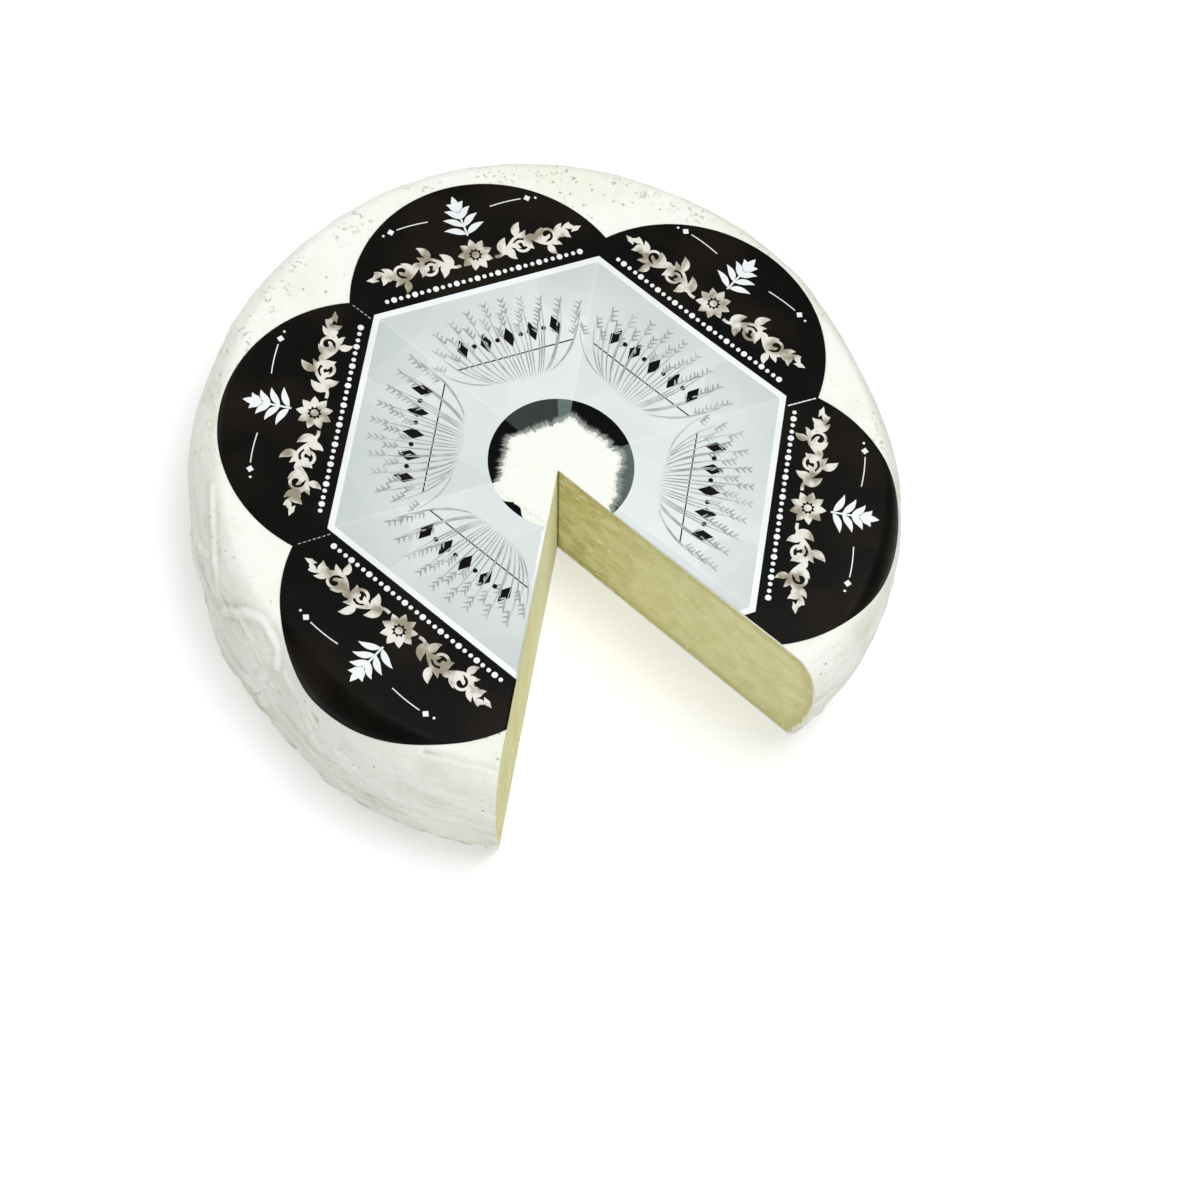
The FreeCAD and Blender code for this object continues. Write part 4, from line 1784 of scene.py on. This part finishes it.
@dataclass(frozen=True)
class Motifs:
    """Plain ornament of leaves, petals, beads and blades, laid out in one sector."""

    garland_middle: float = 74.6
    garland_swing: float = 2.5
    garland_start: float = 6.6
    garland_end: float = 32.0
    wave_length: float = 17.0
    leaf_shares: tuple[float, ...] = (0.06, 0.17, 0.30, 0.42, 0.55, 0.67, 0.80, 0.91)
    petals: int = 9
    petal_ends: Pair = (1.6, 5.6)
    bead_row: float = 66.7
    bead_spacing: float = 2.25
    beads_aside: int = 14
    bead_sizes: Pair = (1.35, 1.9)
    blades: int = 27
    band_middle: float = 44.8
    lozenge_pitch: float = 7.5
    lozenge_half: float = 3.4
    rule_at: float = 38.6

    def vine(self, sideways: Array) -> Array:
        """Points of the garland's waving stem."""
        phase = 2.0 * np.pi * (sideways - self.garland_start) / self.wave_length
        return np.stack([sideways, self.garland_middle - self.garland_swing * np.cos(phase)], axis=-1)

    def garland(self) -> list[Stroke]:
        """Stem with curls and paired leaves on both sides of a rosette."""
        stem = [Stroke(self.vine(np.linspace(self.garland_start - 1.0, self.garland_end, 50)), 1.0)]
        for number, share in enumerate(self.leaf_shares):
            side = 1 - 2 * (number % 2)
            at = self.garland_start + share * (self.garland_end - self.garland_start)
            root = self.vine(np.array([at]))[0]
            lean, length = 1.9 + 0.8 * side, 5.4 - 1.6 * share
            tip = (root[0] + lean, root[1] + side * length)
            stem.append(Stroke(bowed(root, tip, 0.7 * side), 2.9 - 0.8 * share, Width.LEAF))
            low = (root[0] + 3.6, root[1] + side * length * 0.35)
            stem.append(Stroke(bowed(root, low, -0.5 * side), 1.7, Width.LEAF))
        stem.append(Stroke(spiral((14.9, 73.9), (3.2, 0.7), (100.0, -400.0)), 0.95))
        stem.append(Stroke(spiral((23.6, 75.2), (2.9, 0.6), (260.0, 720.0)), 0.9))
        stem.append(Stroke(bowed((31.4, 74.0), (35.2, 75.2), 0.3), 1.9, Width.LOZENGE))
        middle = (0.0, self.garland_middle)
        turns = np.arange(self.petals) * 360.0 / self.petals + 90.0
        ends = [[middle + reach * unit(turn) for reach in self.petal_ends] for turn in turns]
        rose = [Stroke(bowed(inner, outer), 2.5, Width.LEAF) for inner, outer in ends]
        return both(stem) + rose + [self.dot(middle, 2.4)]

    @staticmethod
    def dot(centre: Pair, size: float, outline: Width = Width.ROUND) -> Stroke:
        """Round dot, or a lozenge, of a size about a centre."""
        reach = size / 2.0
        path = bowed((centre[0] - reach, centre[1]), (centre[0] + reach, centre[1]), 0.0, 9)
        return Stroke(path, size, outline)

    def beads(self) -> list[Stroke]:
        """Row of beads under the garland, every third a large one."""
        places = np.arange(-self.beads_aside, self.beads_aside + 1) * self.bead_spacing
        small, large = self.bead_sizes
        sizes = [small if index % 3 else large for index in range(len(places))]
        return [self.dot((at, self.bead_row), size) for at, size in zip(places, sizes)]

    def sprig(self) -> list[Stroke]:
        """Leafy spray near the rim, between thin rules that end in lozenges."""
        stem = [Stroke(bowed((0.0, 81.6), (0.0, 93.4)), 0.6)]
        stem.append(Stroke(bowed((0.0, 91.4), (0.0, 96.2)), 2.2, Width.LEAF))
        pairs = []
        for at, length, lean in ((82.2, 6.8, 24.0), (85.0, 6.4, 34.0), (87.8, 5.4, 44.0), (90.4, 4.2, 54.0)):
            tip = np.array([0.3, at]) + length * unit(lean)
            pairs.append(Stroke(bowed((0.3, at), tip, 0.6), 2.1, Width.LEAF))
        rule = Stroke(bowed((10.2, 89.6), (20.4, 89.6), 0.25), 0.32)
        rules = [rule, self.dot((22.4, 89.3), 2.3, Width.LOZENGE), self.dot((25.0, 88.7), 0.8)]
        return stem + both(pairs + rules)

    def meadow(self) -> list[Stroke]:
        """Fan of fine grass blades with small seed heads, drawn in light grey."""
        strokes = []
        for index, lean in enumerate(np.linspace(-1.0, 1.0, self.blades)):
            tall = 27.0 - 9.0 * abs(lean) ** 1.5 - 4.5 * (index % 3)
            root = (lean * 10.0, 29.5 + 1.5 * abs(lean))
            tip = (lean * 25.0, root[1] + tall)
            strokes.append(Stroke(bowed(root, tip, -1.8 * lean, 12), 0.42, Width.LEAF))
            for step in (0.0, 0.07, 0.14):
                seed = (tip[0] - step * (tip[0] - root[0]), tip[1] - step * (tip[1] - root[1]))
                for side in (1.0, -1.0):
                    end = (seed[0] + 1.3 * side, seed[1] + 1.9)
                    strokes.append(Stroke(bowed(seed, end, 0.2 * side, 6), 0.55, Width.LEAF))
        return strokes

    def band(self) -> list[Stroke]:
        """Dark band of lozenges and dots over a thin rule."""
        strokes = [Stroke(bowed((-19.0, self.rule_at), (19.0, self.rule_at)), 0.38)]
        for number in range(-2, 3):
            at = number * self.lozenge_pitch
            low, high = (self.band_middle + side * self.lozenge_half for side in (-1.0, 1.0))
            strokes.append(Stroke(bowed((at, low), (at, high), 0.0, 9), 3.6, Width.LOZENGE))
        places = [(number + 0.5) * self.lozenge_pitch for number in range(-2, 2)]
        return strokes + [self.dot((at, self.band_middle), 1.5) for at in places]


@dataclass
class InkLayer:
    """Thin raised ink of one finish, repeated in the label's sectors."""

    label: LabelForm
    low: float = 0.10
    high: float = 0.24
    clearance: float = 0.4
    stagger: float = 0.03
    seam_start: float = 1.0
    seam_end: float = 0.6

    def build(self, name: str, layout: list[tuple[float, list[Stroke]]]) -> bpy.types.Object:
        """Make one object from strokes laid in the frames of several directions.

        Each stroke stands a little higher or lower than the next, so that none share a side.

        Args:
            name: Name of the object.
            layout: Directions of outwards, each with the strokes laid in its plane.

        Returns:
            The object.
        """
        builder = Builder(name)
        for angle, strokes in layout:
            outward, aside = unit(angle), unit(angle + 90.0)
            for number, stroke in enumerate(strokes):
                raised = self.stagger * (number * GOLDEN_RATIO % 1.0)
                tube = stroke.tube(self.low, self.high)
                plan = np.array(self.label.print_centre) + tube[..., 1:2] * outward + tube[..., :1] * aside
                if self.on_paper(plan):
                    builder.add(self.label.form.on_top(plan, tube[..., 2] + raised))
        return builder.piece(merge=1e-5, crease=40.0)

    def on_paper(self, plan: Array) -> bool:
        """Whether every point lies on the paper and clear of both cuts.

        Args:
            plan: Plan points.

        Returns:
            True if they all do.
        """
        form = self.label.form
        spot = plan - form.tip(np.array(form.centre_height))
        past_left, past_right = spot @ unit(form.cut_left + 90.0), spot @ unit(form.cut_right - 90.0)
        in_wedge = np.max(np.minimum(past_left, past_right))
        return bool(in_wedge < -self.clearance and np.min(self.label.inside(plan)) > 0.0)

    def seam(self, corner: int, dash: float, pitch: float, width: float) -> tuple[float, list[Stroke]]:
        """Dashes from a corner of the hexagon to its lobes' notch.

        Args:
            corner: Number of the corner.
            dash: Length of a dash.
            pitch: From one dash to the next.
            width: Width of a dash.

        Returns:
            Direction of their frame, and the dashes.
        """
        direction = self.label.notch_direction(corner)
        first = float(self.label.hexagon_edge(np.array(direction))) + self.seam_start
        last = float(self.label.to_lobe(np.array([direction]))[0]) - self.seam_end
        starts = np.arange(first, last - dash, pitch)
        return direction, [Stroke(bowed((0.0, at), (0.0, at + dash)), width) for at in starts]


# ---------------------------------------------------------------- light and camera


@dataclass(frozen=True)
class Lamp:
    """Square soft lamp that looks at the wheel."""

    name: str
    place: Triple
    size: float
    power: float

    def hang(self) -> None:
        """Add the lamp to the scene."""
        data = bpy.data.lights.new(self.name, "AREA")
        data.size = self.size * METRE
        data.energy = self.power
        lamp = bpy.data.objects.new(self.name, data)
        lamp.location = Vector(self.place) * METRE
        lamp.rotation_euler = (-Vector(self.place)).to_track_quat("-Z", "Y").to_euler()
        bpy.context.scene.collection.objects.link(lamp)


@dataclass(frozen=True)
class Studio:
    """Pale floor, soft lights and a camera that looks steeply down from the front."""

    lens: float = 85.03
    sensor: float = 36.0
    elevation: float = 63.998
    roll: float = 17.871
    heading: float = -6.7
    distance: float = 889.9
    aim: Triple = (25.57, -13.63, 0.0)
    floor_size: float = 6000.0
    floor_level: float = -0.05
    ambient: float = 0.34
    lamps: tuple[Lamp, ...] = (
        Lamp("key", (260.0, 120.0, 1400.0), 700.0, 9.8),
        Lamp("fill", (380.0, -1080.0, 760.0), 900.0, 6.3),
        Lamp("side", (-1000.0, 560.0, 560.0), 800.0, 4.8),
    )

    def floor(self) -> None:
        """Lay the floor under the wheel."""
        ends = np.array([-0.5, 0.5]) * self.floor_size
        plan = np.stack(np.meshgrid(ends, ends), axis=-1)
        builder = Builder("floor")
        builder.add(with_height(plan, np.full((2, 2), self.floor_level)))
        floor = builder.piece()
        floor.data.materials.append(studio_floor())

    def surroundings(self) -> None:
        """Even pale light from all round, seen as white by the camera."""
        world = bpy.data.worlds.new("surroundings")
        world.use_nodes = True
        tree = world.node_tree
        tree.nodes.clear()
        light, seen = tree.nodes.new("ShaderNodeBackground"), tree.nodes.new("ShaderNodeBackground")
        light.inputs["Strength"].default_value = self.ambient
        for background in (light, seen):
            background.inputs["Color"].default_value = WHITE
        path, mix = tree.nodes.new("ShaderNodeLightPath"), tree.nodes.new("ShaderNodeMixShader")
        out = tree.nodes.new("ShaderNodeOutputWorld")
        tree.links.new(path.outputs["Is Camera Ray"], mix.inputs[0])
        tree.links.new(light.outputs[0], mix.inputs[1])
        tree.links.new(seen.outputs[0], mix.inputs[2])
        tree.links.new(mix.outputs[0], out.inputs["Surface"])
        bpy.context.scene.world = world

    def camera(self) -> None:
        """Place the camera behind the aim, looking down at the elevation and rolled."""
        lift, roll = math.radians(self.elevation), math.radians(self.roll)
        back = Vector((0.0, -math.cos(lift), math.sin(lift)))
        right = Vector((1.0, 0.0, 0.0))
        up = back.cross(right)
        across = math.cos(roll) * right + math.sin(roll) * up
        upward = -math.sin(roll) * right + math.cos(roll) * up
        turned = Matrix((across, upward, back)).transposed().to_4x4()
        turned.translation = (Vector(self.aim) + back * self.distance) * METRE
        data = bpy.data.cameras.new("camera")
        data.lens = self.lens
        data.sensor_width = self.sensor
        camera = bpy.data.objects.new("camera", data)
        camera.matrix_world = Matrix.Rotation(math.radians(self.heading), 4, "Z") @ turned
        bpy.context.scene.collection.objects.link(camera)
        bpy.context.scene.camera = camera

    def build(self) -> None:
        """Set up everything that isn't part of the cheese."""
        self.floor()
        for lamp in self.lamps:
            lamp.hang()
        self.surroundings()
        self.camera()
        bpy.context.scene.view_settings.view_transform = "Standard"


def main() -> None:
    """Build the cheese, its label and the studio, in that order."""
    logging.basicConfig(level=logging.INFO)
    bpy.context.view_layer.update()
    form = WheelForm()
    label = LabelForm(form)
    wheel = CheeseWheel(form, label).build()
    present(wheel, Slot.CHEESE, [RindFinish().material(), PasteFinish(form).material()], "cheese")
    inks = (
        # Painted sheen: the black print's brownish second tone stands for reflections on the glossy paper
        PrintField("black_print_and_sheen", srgb(6, 6, 4), srgb(24, 19, 12), drift=26.0, rough=0.38, shine=0.07),
        PrintField("white_print", srgb(238, 241, 242), srgb(230, 234, 236)),
        PrintField("grey_ink", srgb(150, 156, 154), srgb(184, 190, 188), drift=5.0),
        PrintField("silver_foil", srgb(228, 226, 216), srgb(146, 136, 116), drift=6.0, rough=0.30),
    )
    black, white, grey, foil = (ink.material() for ink in inks)
    sheet = LabelSheet(label).build()
    prints = [RingPrint(label).material(), FacetPrint(label).material(), white, black]
    present(sheet, Slot.LABEL, prints, "label")
    motifs, layer = Motifs(), InkLayer(label)
    middles = [label.corner_angle + label.sector * (turn + 0.5) for turn in range(-2, 3)]
    worn = layer.seam(-1, dash=1.4, pitch=1.55, width=0.35)
    layers = (
        ("foil_garland", [(middle, motifs.garland()) for middle in middles], foil),
        ("white_ornament", [(middle, motifs.beads() + motifs.sprig()) for middle in middles] + [worn], white),
        ("grey_meadow", [(middle, motifs.meadow()) for middle in middles], grey),
        ("dark_band", [(middle, motifs.band()) for middle in middles], black),
        ("seam_dashes", [layer.seam(corner, dash=0.9, pitch=1.5, width=0.3) for corner in (1, 2)], grey),
    )
    for name, layout, finish in layers:
        present(layer.build(name, layout), Slot.LABEL, [finish])
    Studio().build()


if __name__ == "__main__":
    main()
